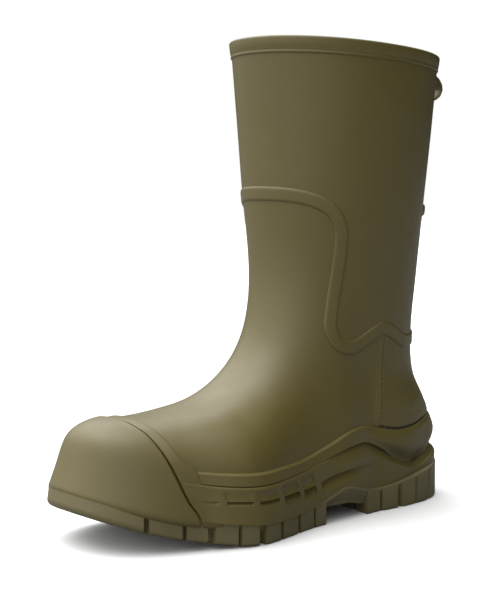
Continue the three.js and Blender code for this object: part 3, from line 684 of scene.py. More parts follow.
RIM_TOP, ROLL = 293.5, 1.5
bend = np.linspace(0, np.pi / 2, 7)
roll_z = RIM_TOP - ROLL + ROLL * np.sin(bend)
roll_outer = np.stack([roll_z, -0.6 + ROLL * np.cos(bend)], -1)
roll_inner = np.stack([roll_z, -3.6 - ROLL * np.cos(bend)], -1)[::-1]
rim_bead = [(283.4, -0.4), (283.45, 0.25), (283.65, 0.52), (284.0, 0.68), (284.5, 0.66), (284.9, 0.5),
            (285.2, 0.4), (285.6, 0.42), (286.6, 0.62), (288.5, 0.8)]
rim_inside = [(287, -5.1), (284.4, -5.0), (283.9, -4.5), (283.8, -2.0)]
rim_z, rim_stand = np.vstack([rim_bead, roll_outer, roll_inner, rim_inside]).T
rim_turn = np.linspace(0, 2 * np.pi, 240, endpoint=False)[:, None]
bar_piece("rim_band_rolled", level_ring(rim_turn, rim_z, rim_stand), node="rim_band", closed=True)

# the moulded stitch line that runs round the band just above its bead
rim_line = level_ring(np.linspace(0, 2 * np.pi, 400), 286.2, 0.3)
stitch_piece("rim_band_stitches", [stitched(rim_line, 2.7, 0.45)], skin_rubber)

# ---------------------------------------------------------------------------------------------
# Rear ledge: a short raised bar across the back of the leg, a kick-off step moulded from solid
# rubber and cured onto the panel.
# ---------------------------------------------------------------------------------------------
LEDGE_HALF = 0.62        # half of its run round the back, in radians
ledge_turn = np.linspace(np.pi - LEDGE_HALF, np.pi + LEDGE_HALF, 70)[:, None]
ledge_fade = smooth((LEDGE_HALF - np.abs(ledge_turn - np.pi)) / 0.09)
ledge_z, ledge_out = np.array([(186.9, -0.3), (187.0, 0.25), (187.4, 0.9), (188.2, 1.45), (189.4, 1.7),
                               (191, 1.72), (192.6, 1.68), (193.8, 1.45), (194.6, 0.95), (195, 0.3),
                               (195.1, -0.3)]).T
bar_piece("rear_ledge_bar", level_ring(ledge_turn, ledge_z, -0.3 + (ledge_out + 0.3) * ledge_fade),
          node="rear_ledge")

# ---------------------------------------------------------------------------------------------
# Pull loop: a 10 mm wide ribbon of rubber folded into a D at the back of the rim, both ends
# cured flat onto a small tab, so the boot can be hooked and pulled on.
# ---------------------------------------------------------------------------------------------
LOOP = [(-69.5, 283.2), (-74, 286.2), (-80, 287.6), (-85.6, 287.1), (-90.2, 284.4), (-93, 280.6),
        (-93.4, 276.7), (-91.4, 272.6), (-87.4, 269.8), (-81.6, 268.4), (-75.5, 268.4), (-69.2, 269.2)]
RIBBON_HALF, RIBBON_THICK_HALF = 5.0, 1.0
loop_line = even(np.array([(f, 0, z) for f, z in LOOP], float), 90)
loop_line[1:-1] = (loop_line[:-2] + 2 * loop_line[1:-1] + loop_line[2:]) / 4
loop_ahead = np.gradient(loop_line, axis=0)
loop_ahead /= np.linalg.norm(loop_ahead, axis=1, keepdims=True)
loop_out = np.stack([loop_ahead[:, 2], 0 * loop_ahead[:, 0], -loop_ahead[:, 0]], -1)
corner = np.linspace(0, 2 * np.pi, 28, endpoint=False)
ribbon_l = np.sign(np.cos(corner)) * RIBBON_HALF * np.abs(np.cos(corner)) ** 0.35
ribbon_h = np.sign(np.sin(corner)) * RIBBON_THICK_HALF * np.abs(np.sin(corner)) ** 0.6
loop_rings = (loop_line[:, None] + loop_out[:, None] * ribbon_h[None, :, None]
              + ribbon_l[None, :, None] * np.array([0, 1.0, 0]))
bar_piece("pull_loop_ribbon", loop_rings, node="pull_loop")

TAB_HALF, TAB_LOW, TAB_TOP = 0.105, 251.6, 283.2      # radians, then heights
tab_turn = np.linspace(np.pi - TAB_HALF, np.pi + TAB_HALF, 26)[:, None]
tab_z = np.concatenate([TAB_LOW + np.array([0, 0.05, 0.4, 1.2]), np.linspace(254, 281, 16),
                        TAB_TOP + np.array([-1.0, -0.3, 0, 0.05])])
tab_edge = np.minimum(smooth((tab_z - TAB_LOW) / 1.5), smooth((TAB_TOP - tab_z) / 0.5))
tab_side = smooth((TAB_HALF - np.abs(tab_turn - np.pi)) / 0.016)
tab_front = level_ring(tab_turn, tab_z, -0.25 + 1.2 * tab_edge * tab_side)
tab_back = level_ring(tab_turn, tab_z[::-1], -0.6)
bar_piece("pull_loop_tab", np.concatenate([tab_front, tab_back], 1))

# ---------------------------------------------------------------------------------------------
# Toe cap: a thick moulded cup of rubber over the toe, 2.5 mm proud of the vamp, with a
# rounded rear edge that crosses the foot and slants down to the sole on both sides.
# ---------------------------------------------------------------------------------------------
CAP_LINE = through([(15, 149), (22, 151), (29.1, 155.6), (42.8, 160.8), (56.6, 165.4), (65.1, 168.1),
                    (69.9, 170.2), (90, 172.5)])
CAP_ROUND, CAP_RISE = 256, 2.45
CAP_UNDER, CAP_FLOOR = -9.0, -8.0     # how far the cap reaches below the shell's own floor
toe_turn = np.linspace(0, 2 * np.pi, CAP_ROUND, endpoint=False)[None, :]
toe_v = np.linspace(0.72, 2, 420)[:, None]
toe_scan = skin(toe_turn, toe_v, 0.0, CAP_UNDER)
past_line = toe_scan[..., 0] - CAP_LINE(toe_scan[..., 2])
crossing = np.argmax(past_line > 0, axis=0)     # first row past the line, for each direction
every = np.arange(CAP_ROUND)
before, after = past_line[crossing - 1, every], past_line[crossing, every]
toe_step = np.linalg.norm(np.diff(toe_scan, axis=0, prepend=toe_scan[:1]), axis=-1)
toe_run = np.cumsum(toe_step, axis=0)
line_run = toe_run[crossing - 1, every] + before / (before - after) * toe_step[crossing, every]


def station_at(run):
    """Station v, for each direction u, where the way along the skin is run millimetres."""
    return np.stack([np.interp(run[:, i], toe_run[:, i], toe_v[:, 0]) for i in range(CAP_ROUND)], 1)


def toe_rows(distance):
    """Station v for each direction u at a distance along the skin ahead of the cap's line. Up
    to 6 mm it is the distance itself; from 12 mm on the rows share out the whole way to the
    toe's pole, which the last row, at 80, reaches; in between one melts into the other."""
    whole = toe_run[-1] - line_run
    shared = distance / 80 * whole
    melt = np.clip((distance - 6) / 6, 0, 1)
    return station_at(line_run + np.minimum(distance + (shared - distance) * melt, whole))


cap_rows = np.concatenate([[0, 0.02, 0.1, 0.25, 0.45, 0.7, 1.0, 1.4, 1.9, 2.5, 3.2, 4.2, 5.2, 6.4, 8, 10],
                           np.linspace(12, 80, 70)])[:, None]
cap_edge = np.clip(1 - cap_rows / 1.5, 0, 1)
cap_rise = CAP_RISE * np.sqrt(1 - cap_edge**2) - 0.25 * (cap_rows < 0.01)
cap_v = toe_rows(cap_rows)


def cap_stand(f, z):
    """The cap's own fullness: its rise, and up to a quarter more round the toe's shoulder."""
    shoulder = np.exp(-((z - toe_spring(f) - 47) / 17) ** 2) * smooth((f - 158) / 34)
    return cap_rise * (1 + 0.25 * shoulder)


def toe_piece(name, node, v, outer_stand, inner_stand):
    """A sheet over the toe between two faces, on the stations v ahead of or behind the line."""
    outer = skin(toe_turn, v, outer_stand, CAP_UNDER)
    inner = skin(toe_turn, v, inner_stand, CAP_FLOOR)
    squares = np.ones((len(v) - 1, CAP_ROUND), bool)
    finish(mesh_object(name, *two_faced(place(outer), place(inner), squares)), skin_rubber,
           node)


toe_piece("toe_cap_cup", "toe_cap", cap_v, cap_stand, -0.45)

# ---------------------------------------------------------------------------------------------
# Toe cap strip: a flat foxing strip behind the cap's edge. It runs over the foot and spreads
# into the top of the mudguard on both sides.
# ---------------------------------------------------------------------------------------------
line_f, _, line_z = toe_scan[crossing, every].T
line_z = (line_z - toe_spring(line_f))[None]
strip_width = 7.6 + 7.0 * smooth((45 - line_z) / 8)
strip_height = 1.25 + 1.35 * smooth((56 - line_z) / 14)
strip_rows = np.array([-1, -0.985, -0.96, -0.92, -0.86, -0.75, -0.6, -0.4, -0.2, -0.05, -0.025,
                       -0.005])[:, None]
strip_rise = strip_height * np.sin(np.clip((1 + strip_rows) / 0.14, 0, 1) * np.pi / 2)
strip_rise = strip_rise - 0.3 * (strip_rows < -0.99)
strip_rise = strip_rise - (strip_height + 0.2) * smooth((strip_rows + 0.05) / 0.045)
strip_v = station_at(line_run + strip_rows * strip_width)
toe_piece("toe_cap_strip_band", "toe_cap_strip", strip_v, strip_rise, -0.4)

# ---------------------------------------------------------------------------------------------
# Mudguard: the upper foxing, a moulded wave of rubber that runs from the toe cap round the
# heel and back. At the heel it swells into a bulge with a valley under it.
# ---------------------------------------------------------------------------------------------
GUARD_TOP = through([(-90, 57.5), (-60, 57), (-51.7, 55.2), (-38, 52.2), (-28, 51), (-16, 51.2),
                     (0, 54.2), (8, 55.9), (16, 56.3), (29, 54.1), (46.2, 48), (68, 42.8),
                     (96, 41.5), (122, 41.3), (155, 40)])
GUARD_LOW = through([(-90, 35), (-70, 34.6), (-62, 32.6), (-52, 28.2), (-42, 25.6), (-32, 26.8),
                     (-22, 30.2), (-14, 33.8), (-5, 38.8), (4, 43), (12, 45.4), (18, 45.6), (30, 44),
                     (44, 40.3), (62.7, 36.2), (90, 34), (114, 33.6), (156, 32.6)])
HEEL_AXIS, TOE_AXIS = -22.0, 140.0
FRONT = 156.0            # where the foxing's bands end against the toe cap


def column(*values):
    """Values one below the other, one row of a band each."""
    return np.array(values, float)[:, None]


def fill_in(stops, low, high, pitch):
    """Sorted places from low to high: a close pair at each stop and even filling between."""
    pairs = np.ravel([(s - 0.2, s + 0.2) for s in stops])
    places = np.sort(np.concatenate([[low, high], pairs]))
    parts = [np.linspace(a, b, max(2, int(np.ceil((b - a) / pitch)) + 1))[:-1]
             for a, b in zip(places, places[1:])]
    return np.concatenate(parts + [[high]])


def side_columns(stops, front, heel_stops=(), toe_stops=None, pitch=1.3):
    """Columns of the sole's wall as (start f, heading f, heading l): straight ones along the
    outer side, a fan round the heel, straight ones back along the inner side, and, where
    toe_stops are given, a fan round the toe that closes the ring."""
    run = fill_in(stops, HEEL_AXIS, front, pitch)
    fan = np.linspace(0, np.pi, 84)[1:-1]
    if len(heel_stops):
        fan = np.radians(fill_in(np.degrees(heel_stops), 0, 180, 2.2)[1:-1])
    outer = np.stack([run[::-1], 0 * run, 0 * run + 1], -1)
    heel = np.stack([0 * fan + HEEL_AXIS, -np.sin(fan), np.cos(fan)], -1)
    inner = np.stack([run, 0 * run, 0 * run - 1], -1)
    if toe_stops is None:
        return np.vstack([outer, heel, inner])
    fan = np.radians(fill_in(np.degrees(toe_stops), 0, 180, 2.0)[1:-1])
    return np.vstack([outer, heel, inner, np.stack([0 * fan + TOE_AXIS, np.sin(fan), -np.cos(fan)], -1)])


def wall(columns, z, stand, plan=False, slant=0.0):
    """Points of the wall, rows of local heights z by columns, standing proud of the form; with
    plan they keep the outline of its widest level. slant leans the columns with height."""
    z, stand = np.broadcast_arrays(z + 0 * columns[:, 0], stand)
    start = np.stack([columns[:, 0] + slant + 0 * z, 0 * z, z], -1)
    heading = np.broadcast_to(columns @ [[0, 0, 0], [1, 0, 0], [0, 1, 0]], start.shape)

    def form(f, l, h):
        return depth(f, l, (WIDEST if plan else h) + toe_spring(f)) - stand

    points = reach(start, heading, form, 200)
    points[..., 2] = z + toe_spring(points[..., 0])
    return points


def end_slant(columns, z):
    """Lean that carries the front column onto the toe cap's line and dies away behind it."""
    near_front = (columns[:, 1] == 0) * smooth((columns[:, 0] - FRONT + 18) / 18)
    return near_front * (CAP_LINE(z + 2.5) + 0.55 - FRONT)


def end_dip(columns):
    """Sink of the last half millimetre before the toe cap, a fine groove along its edge."""
    return 0.9 * (columns[:, 1] == 0) * np.clip(1 - (FRONT - columns[:, 0]) / 0.5, 0, 1)


guard_columns = side_columns([FRONT - 1.0, FRONT - 0.4], FRONT)
guard_f = wall(guard_columns, 40.0, 2.5)[..., 0].ravel()
top_z, low_z = GUARD_TOP(guard_f), GUARD_LOW(guard_f)
# how much each column belongs, 0 to 1, to the heel, to the end at the toe cap, to the back
# and to the valley beside the heel
heelness = smooth((14 - guard_f) / 20)
meet = smooth((guard_f - 132) / 22)
backness = smooth((-44 - guard_f) / 12)
valley = smooth((0 - guard_f) / 22) * (1 - 0.8 * backness)

# rows from the top: a lip on the heel, the groove under it, the band's rounded top edge, its
# face, which swells at the heel and sinks to a valley ahead of it, its underside and its back
lip_x = column(0, 0.2, 0.4, 0.55, 0.7, 0.82, 0.9, 0.96, 1.0)
lip_z = top_z + 1.5 + 13 * (1 - lip_x)
lip_stand = -0.45 + heelness * 1.3 * lip_x**1.3
gap_z = top_z + column(1.3, 0.9, 0.3)
gap_stand = -0.45 + heelness * column(1.15, 0.55, 0.45)
edge_rise = column(0.15, 0.95, 1.6, 2.15, 2.5, 2.62, 2.6) * (1 - 0.2 * meet)
heel_rise = column(0.15, 0.5, 0.95, 1.4, 1.85, 2.25, 2.7)
edge_z = top_z - column(0.0, 0.12, 0.35, 0.7, 1.2, 1.8, 2.6) * (1 + 0.35 * heelness)
edge_stand = edge_rise + (heel_rise - edge_rise) * heelness
face_x = np.linspace(0, 1, 26)[1:, None]
face_z = edge_z[-1] + (low_z + 1.0 - edge_z[-1]) * face_x
flat_face = 2.6 - 0.55 * meet + (0.65 - 0.3 * meet) * face_x
swell = 2.7 + 1.9 * np.sin(np.pi / 2 * np.clip(face_x / 0.55, 0, 1)) - 0.6 * smooth((face_x - 0.6) / 0.4)
swell = swell + backness * (1.2 * np.sin(np.pi * face_x**1.1) + 0.9 * face_x)
face_stand = flat_face + (swell - flat_face) * heelness
face_stand = face_stand - valley * 3.0 * smooth((face_x - 0.4) / 0.6) * heelness
crisp = 1 - valley
under_z = low_z + 1.0 - column(0.25, 0.6, 1.0, 1.5)
under_stand = face_stand[-1] - column(0.12, 0.55, 1.25, 1.9) * (0.12 + 0.88 * crisp)
back_z = np.stack([low_z - 0.5, low_z + 2, top_z + 4, lip_z[0] + 0.3])
back_stand = column(-1.5, -1.5, -1.5, -1.2) + 0 * low_z
guard_z = np.concatenate([lip_z, gap_z, edge_z, face_z, under_z, back_z])
guard_stand = np.concatenate([lip_stand, gap_stand, edge_stand, face_stand, under_stand, back_stand])
guard_stand = guard_stand - end_dip(guard_columns) * (guard_stand > 0)
guard_points = wall(guard_columns, guard_z, guard_stand, slant=end_slant(guard_columns, guard_z))
# painted shade for each row: darkest in the groove along the top edge at the heel and under the band's
# overhanging lower edge, lighter in the valley beside the heel
guard_painted_shade = np.concatenate([
    0 * lip_z, heelness * column(0.5, 1, 1), heelness * column(1, 0.4, 0, 0, 0, 0, 0),
    valley * 0.35 * smooth((face_x - 0.45) / 0.4),
    column(0.0, 0.3, 0.8, 1.0) * (0.3 + 0.7 * crisp), 0 * back_z])
guard = bar_piece("mudguard_wave", np.swapaxes(guard_points, 0, 1), node="mudguard")
# the painted shade goes onto the mesh as an attribute that the rubber reads
painted_groove_shade = found_again(guard, guard_points, guard_painted_shade.ravel()).astype(np.float32)
guard.data.attributes.new("painted_groove_shade", "FLOAT", "POINT").data.foreach_set("value", painted_groove_shade)

# ---------------------------------------------------------------------------------------------
# Midsole sidewall: the lower foxing. A lip under the mudguard, a row of shallow windows with
# upright ribs between them along the forefoot, and a smooth hollow beside the arch.
# ---------------------------------------------------------------------------------------------
TREAD_TOP = through([(-90, 24.5), (-70, 24), (-60, 22.5), (-49, 21), (-25.8, 17.8), (-8.6, 15.6),
                     (7.8, 15.9), (20.7, 18.7), (32.5, 21), (42, 18.2), (53.7, 14.9), (62.6, 14),
                     (96.5, 12.9), (126, 13.9), (156, 14), (180, 13.2), (210, 13)])
EDGE_LINE = through([(-90, 30.5), (-62, 28.6), (-42, 22.6), (-22, 26), (-8, 29.5), (4, 31.2),
                     (20, 32.0), (33, 31.2), (45, 29.2), (56, 26.6), (66, 25.4), (85, 25.5),
                     (100, 25.6), (128, 25.6), (150, 24)])
# the windows: rear end, front end, depth, height over which the depth dies away, and how deep
# the face above scoops in over them
WINDOWS = [(140.5, 156.6, 1.3, 1.6, 0.15), (119.7, 135.5, 1.7, 2.0, 0.25),
           (98.3, 115.1, 2.1, 3.4, 0.55), (76.9, 93.3, 2.6, 5.6, 0.85), (59.6, 72.4, 3.0, 7.4, 0.95)]
HOLLOW_END, HOLLOW_DEEP = 54.4, 2.7
window_ends = [end for window in WINDOWS for end in window[:2] if end < FRONT]
side_cols = side_columns(window_ends + [HOLLOW_END - 0.2, FRONT - 1.0, FRONT - 0.4], FRONT)
side_f = wall(side_cols, 28.0, 4.0)[..., 0].ravel()
straight = side_cols[:, 1] == 0
own_f = np.where(straight, side_cols[:, 0], side_f)
lip_top, wall_low, edge_at = GUARD_LOW(side_f), TREAD_TOP(side_f) - 1.6, EDGE_LINE(side_f)
# how much each column belongs, 0 to 1, to the end at the toe cap, the heel, the waist and the back
meet = smooth((side_f - 134) / 20)
heel_part = smooth((-20 - side_f) / 22)
mid_part = smooth((52 - side_f) / 26) * (1 - heel_part)
rear_part = smooth((-34 - side_f) / 32)

inside_window, sink = np.zeros((2, len(side_cols)))
recover = np.full(len(side_cols), 2.0)
for rear, front, deep, fade, scoop in WINDOWS:
    hit = (own_f > rear - 0.01) & (own_f < front + 0.01)
    edge_ramp = np.clip(np.minimum(own_f - rear, front - own_f) / 0.4 + 0.5, 0, 1)
    inside_window = np.where(hit, edge_ramp * scoop, inside_window)
    sink = np.where(hit, deep * edge_ramp, sink)
    recover = np.where(hit, fade, recover)
hollow = smooth((own_f - 4) / 30) * np.clip((HOLLOW_END - own_f) / 0.4, 0, 1)
sink = sink + HOLLOW_DEEP * hollow
recover = np.where(hollow > 0, 8.0, recover)

# rows from the top: the lip, the face down to the windows' upper edge, the fall into the
# windows, the face below that comes back out, and the back
lip_z = lip_top - column(-0.9, -0.55, -0.2, 0.15, 0.6, 1.2, 2.0)
lip_front = column(0.6, 1.6, 2.7, 3.35, 3.75, 3.85, 3.85)
lip_mid = column(0.4, 0.7, 0.95, 1.2, 1.5, 1.85, 2.3)
lip_heel = column(1.0, 1.25, 1.6, 2.0, 2.45, 2.95, 3.5)
lip_stand = lip_front * (1 - mid_part - heel_part) + lip_mid * mid_part + lip_heel * heel_part
lip_stand = lip_stand + 4.6 * rear_part
upper_x = np.linspace(0, 1, 15)[1:, None]
upper_z = lip_z[-1] + (edge_at - lip_z[-1]) * upper_x
upper_full = 3.85 + 0.35 * upper_x
upper_slow = 2.3 + 2.1 * np.sin(np.clip(upper_x / 0.75, 0, 1) * np.pi / 2)
upper_stand = upper_full + (upper_slow - upper_full) * mid_part
upper_stand = upper_stand + (0.25 - 0.6 * (1 - upper_x) ** 2) * heel_part + 4.9 * rear_part
window_scoop = np.sin(np.pi * np.clip((upper_x - 0.05) / 0.95, 0, 1)) ** 0.8
upper_stand = upper_stand - inside_window * window_scoop
fall_z = edge_at - column(0.06, 0.22, 0.5)
fall_stand = upper_stand[-1] - sink * column(0.25, 0.8, 1.0)
lower_x = np.linspace(0, 1, 20)[1:, None]
lower_z = fall_z[-1] + (wall_low - fall_z[-1]) * lower_x
left_in = 1 - smooth((fall_z[-1] - lower_z) / recover)
lower_stand = upper_stand[-1] + 0.35 * lower_x - sink * left_in
back_z = np.stack([wall_low - 0.1, lip_z[0] - 0.3])
side_z = np.concatenate([lip_z, upper_z, fall_z, lower_z, back_z])
side_stand = np.concatenate([lip_stand, upper_stand, fall_stand, lower_stand])
side_stand -= meet * np.clip(side_stand - 2.9, 0, None) + end_dip(side_cols)
side_stand = np.concatenate([side_stand, np.full_like(back_z, -1.0)])
rib_lean = straight * smooth((own_f - 40) / 20) * smooth((FRONT - own_f) / 40) * 0.32 * (side_z - 25)
side_points = wall(side_cols, side_z, side_stand, slant=end_slant(side_cols, side_z) + rib_lean)
bar_piece("midsole_sidewall_ring", np.swapaxes(side_points, 0, 1), node="midsole_sidewall", sharp=55)

# ---------------------------------------------------------------------------------------------
# Outsole: one moulding of harder rubber, cleats about 13 mm tall at the edge, cut by cross
# slots, with a hollow arch between the forefoot tread and the heel block.
# ---------------------------------------------------------------------------------------------
# the cross slots: place and width
SLOTS = [(180.4, 1.0), (158.7, 2.2), (143.3, 4.2), (127.6, 2.2), (113, 5.2), (95.9, 2.2), (77.6, 2.4),
         (61.5, 1.8), (-2.3, 2.2), (-19.4, 4.4), (-35.8, 2.2), (-51, 2.2)]
HEEL_BREAST, TREAD_REAR, ARCH_Z = 11.0, 50.5, 9.8
SOLE_OUT, EDGE_LEVEL = 5.2, 8.0       # how far the edge stands out, and the height it is taken at
SLOT_DEEP, ARCH_DEEP, GROOVE_HIGH = 4.4, 3.2, 6.5
RIPPLE, RIPPLE_PITCH = 0.3, 3.4
MIDDLE_BED, ARCH_BED = 8.6, 12.6      # heights of the outsole's upper face inside its edge


def sole_stand(f):
    """How far the sole's edge stands outside the foot: 5.2 mm, growing to 9.4 at the toe and
    8.4 at the heel."""
    return SOLE_OUT + 4.2 * smooth((f - 150) / 45) + 3.2 * smooth((-20 - f) / 45)


def angles_at(f_wanted, axis, ahead):
    """Fan angles, one on each side, at which the sole's edge reaches a length f."""
    angle = np.linspace(0, np.pi / 2, 400)
    turn = np.stack([0 * angle + axis, ahead * np.sin(angle), np.cos(angle)], -1)
    stand = sole_stand(axis + ahead * 50 * np.sin(angle))
    edge_f = wall(turn, EDGE_LEVEL, stand, plan=True)[..., 0].ravel()
    order = np.argsort(edge_f)
    found = np.interp(f_wanted, edge_f[order], angle[order])
    return [found, np.pi - found]


straight_stops, toe_stops, heel_stops = [HEEL_BREAST, TREAD_REAR], [], []
for place_f, width in SLOTS:
    for end in (place_f - width / 2, place_f + width / 2):
        if end > TOE_AXIS - 0.5:
            toe_stops += angles_at(end, TOE_AXIS, 1)
        elif end < HEEL_AXIS + 0.5:
            heel_stops += angles_at(end, HEEL_AXIS, -1)
        else:
            straight_stops.append(end)
sole_cols = side_columns(straight_stops, TOE_AXIS, heel_stops, toe_stops)
near_f = wall(sole_cols, EDGE_LEVEL, SOLE_OUT, plan=True)[..., 0].ravel()
sole_out = sole_stand(near_f)
near_f = wall(sole_cols, EDGE_LEVEL, sole_out, plan=True)[..., 0].ravel()
in_slot = np.zeros(len(sole_cols))
for place_f, width in SLOTS:
    in_slot = np.maximum(in_slot, np.abs(near_f - place_f) < width / 2 + 0.02)
in_arch = ((near_f > HEEL_BREAST + 0.02) & (near_f < TREAD_REAR - 0.02)).astype(float)
bottom = (ARCH_Z - 3.0 * smooth((30 - near_f) / 18)) * in_arch
tread_top = TREAD_TOP(near_f)
slot_top = tread_top - 1.7

toe_part = smooth((near_f - 160) / 30)
edge_round = 1 + 1.3 * toe_part
ripple = RIPPLE * np.sin(near_f * 2 * np.pi / RIPPLE_PITCH) * in_arch
# rows from the ground: the rounded lower edge, the climb, which is sunk in the slots and in
# the ribbed arch, and the rounded upper edge that turns in
foot_z = column(0.0, 0.12, 0.45, 0.95, 1.6) * edge_round + bottom
foot_out = column(-1.4, -0.85, -0.38, -0.1, 0.0) * edge_round
foot_out = foot_out - SLOT_DEEP * in_slot * (1 - in_arch) - ARCH_DEEP * in_arch
climb = np.linspace(0, 1, 14)[1:, None]
climb_z = foot_z[-1] + (slot_top - foot_z[-1]) * climb
climb_out = -(SLOT_DEEP - 2.6 * smooth((climb - 0.25) / 0.7)) * in_slot * (1 - in_arch)
arch_sink = ARCH_DEEP * (1 - climb) ** 1.5 + 0.4 + ripple * np.sin(np.pi * climb)
climb_out = climb_out - arch_sink * in_arch
top_rows = np.stack([slot_top + 0.1, slot_top + 0.5, tread_top - 0.5, tread_top - 0.15, tread_top,
                     tread_top])
top_out = column(-0.02, 0, -0.05, -0.3, -0.8, -7.0) + 0 * sole_out
sole_z = np.concatenate([foot_z, climb_z, top_rows])
sole_s = np.concatenate([foot_out, climb_out, top_out])
sole_s = sole_s + toe_part * (0.6 - 1.2 * np.clip(sole_z / 13, 0, 1))
edge_points = wall(sole_cols, sole_z, sole_out + sole_s, plan=True)

# underneath: rows from the edge to the middle line, lugs in two rows a side with grooves between
inward = column(0.93, 0.86, 0.79, 0.735, 0.725, 0.66, 0.655, 0.60, 0.50, 0.40, 0.30, 0.20, 0.16,
                0.155, 0.08, 0.0)
lug = column(1, 1, 1, 1, 0, 0, 1, 1, 1, 1, 1, 1, 1, 0, 0, 0)
chevron = np.where(near_f > 30, 5.0, -6.0) * np.abs(sole_cols[:, 2])
axis_f = sole_cols[:, 0]
rim_f, rim_l = edge_points[0, :, 0], edge_points[0, :, 1]
under_f = axis_f + chevron * (1 - inward) + (rim_f - axis_f) * inward
cut_in = GROOVE_HIGH * np.clip(1 - lug + in_slot, 0, 1) * (1 - in_arch)
under_points = np.stack([under_f, rim_l * inward, bottom + cut_in + toe_spring(under_f)], -1)
bed_in = column(0.86, 0.6, 0.3, 0.0)
bed_f = axis_f + (edge_points[-1, :, 0] - axis_f) * bed_in
bed_z = np.where(in_arch > 0, ARCH_BED, MIDDLE_BED) + toe_spring(bed_f)
bed_points = np.stack([bed_f, edge_points[-1, :, 1] * bed_in, bed_z], -1)
sole_points = np.concatenate([under_points[::-1], edge_points, bed_points])
tread_rubber = rubber_material("olive_tread_rubber", (0.136, 0.115, 0.049), (0.175, 0.153, 0.078),
                               0.5, 1.6)


def closed_rings(name, rings, body="root", sharp=38):
    """A solid whose rings of corners close at both ends on a middle line of their own."""
    sides = tube_faces(*rings.shape[:2], False)[:1]
    return outward(mesh_object(name, place(rings), sides, body=body, sharp=sharp))


finish(closed_rings("outsole_tread", sole_points), tread_rubber, "outsole")

# ---------------------------------------------------------------------------------------------
# Footbed: a loose insole that lifts out to dry, a moulded foam slab 4 mm thick with a raised
# edge, and a brushed cloth cover bonded on top.
# ---------------------------------------------------------------------------------------------
BED_LOW = LINING_FLOOR + 2.6
bed_columns = side_columns([], TOE_AXIS, (), [], 3.0)
bed_edge_f = wall(bed_columns, 30.0, -9.4)[..., 0].ravel()
BED_RINGS = np.concatenate([np.linspace(0, 0.5, 8)[:-1], np.linspace(0.5, 1, 14)])[:, None]


def bed_layer(height, inset):
    """One face of the insole: rings from its middle line out to its edge, at a height above
    the boot's floor that rises by 1.8 mm towards the edge."""
    edge = wall(bed_columns, (floor_z(bed_edge_f) + height)[None], inset)[0]
    f = bed_columns[:, 0] + (edge[:, 0] - bed_columns[:, 0]) * BED_RINGS
    rise = floor_z(f) + toe_spring(f) + height + 1.8 * smooth((BED_RINGS - 0.5) / 0.5)
    return np.stack([f, edge[:, 1] * BED_RINGS, rise], -1)


def bed_piece(name, low, high, node, material):
    """A slab between two layers with a rounded edge, riding on the footbed."""
    under, over = bed_layer(BED_LOW + low, -9.6), bed_layer(BED_LOW + high, -9.1)
    middle_edge = (under[-1:] + over[-1:]) / 2
    middle_edge[..., :2] += 0.25 * (over[-1:] - over[-2:-1])[..., :2] / 3
    rings = np.concatenate([under, middle_edge, over[::-1]])
    finish(closed_rings(name, rings, "footbed", 50), material, node)


# a stock material's surface: two tones in clots of one size, and a relief of the same clots
clotted, clotted_in, clotted_out = node_group("clotted_stock", {
    "Dark": ("NodeSocketColor", (0.1, 0.1, 0.1, 1)),
    "Light": ("NodeSocketColor", (0.2, 0.2, 0.2, 1)),
    "Size": ("NodeSocketFloat", 300.0),
    "Relief": ("NodeSocketFloat", 1.0),
}, SURFACE)
clot_spot = add(clotted, "ShaderNodeTexCoord")["Object"]
clot = noise(clotted, clot_spot, clotted_in["Size"], 6.0, 0.65, 0.4)
cell = add(clotted, "ShaderNodeTexVoronoi", Vector=clot_spot, Scale=clotted_in["Size"])["Distance"]
clot_tone = maths(clotted, "MULTIPLY", clot, maths(clotted, "ADD", cell, 0.5))
clot_height = maths(clotted, "MULTIPLY", maths(clotted, "ADD", clot, cell), clotted_in["Relief"])
fill(clotted, clotted_out, Color=blend(clotted, clot_tone, clotted_in["Dark"], clotted_in["Light"]),
     Roughness=stretch(clotted, clot, 0.3, 0.7, 0.78, 0.95),
     Normal=relief(clotted, clot_height, 0.6, 0.0003))


def stock_material(name, dark, light, size, height, metal=False):
    """A stock sheet or filling in two tones, its clots size to the metre; metal keeps its own
    smoother finish."""
    material, tree, principled = shader(name)
    surface = add(tree, "ShaderNodeGroup", node_tree=clotted, Dark=(*dark, 1), Light=(*light, 1),
                  Size=size, Relief=height)
    fill(tree, principled, Base_Color=surface["Color"], Normal=surface["Normal"],
         Metallic=float(metal), Roughness=0.38 if metal else surface["Roughness"])
    return material


bed_foam = stock_material("moulded_foam", (0.035, 0.035, 0.035), (0.08, 0.08, 0.078), 900.0, 0.8)
bed_cloth = stock_material("brushed_cloth", (0.045, 0.045, 0.038), (0.115, 0.11, 0.09), 1600.0, 0.5)
bed_piece("footbed_foam_slab", 0.0, 4.2, "footbed_foam", bed_foam)
bed_piece("footbed_cloth_cover", 4.4, 5.6, "footbed_cover", bed_cloth)

# ---------------------------------------------------------------------------------------------
# Pieces sealed inside: heel stiffener and toe puff of resin board, the insole board, the steel
# shank and the cork fillings. Their shapes stay as cut; each gets the finish of its stock.
# ---------------------------------------------------------------------------------------------
resin_board = stock_material("resin_board", (0.22, 0.17, 0.10), (0.38, 0.31, 0.21), 700.0, 0.6)
fibre_board = stock_material("fibre_board", (0.24, 0.17, 0.10), (0.42, 0.32, 0.20), 1100.0, 0.5)
cork = stock_material("granulated_cork", (0.16, 0.10, 0.05), (0.46, 0.34, 0.21), 380.0, 1.0)
spring_steel = stock_material("spring_steel", (0.38, 0.38, 0.39), (0.56, 0.56, 0.57), 500.0, 0.1,
                              metal=True)
for node, material in (("heel_stiffener", resin_board), ("toe_puff", resin_board),
                       ("insole_board", fibre_board), ("shank", spring_steel),
                       ("heel_filler", cork), ("forefoot_filler", cork)):
    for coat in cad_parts[node].material_slots:
        coat.material = material

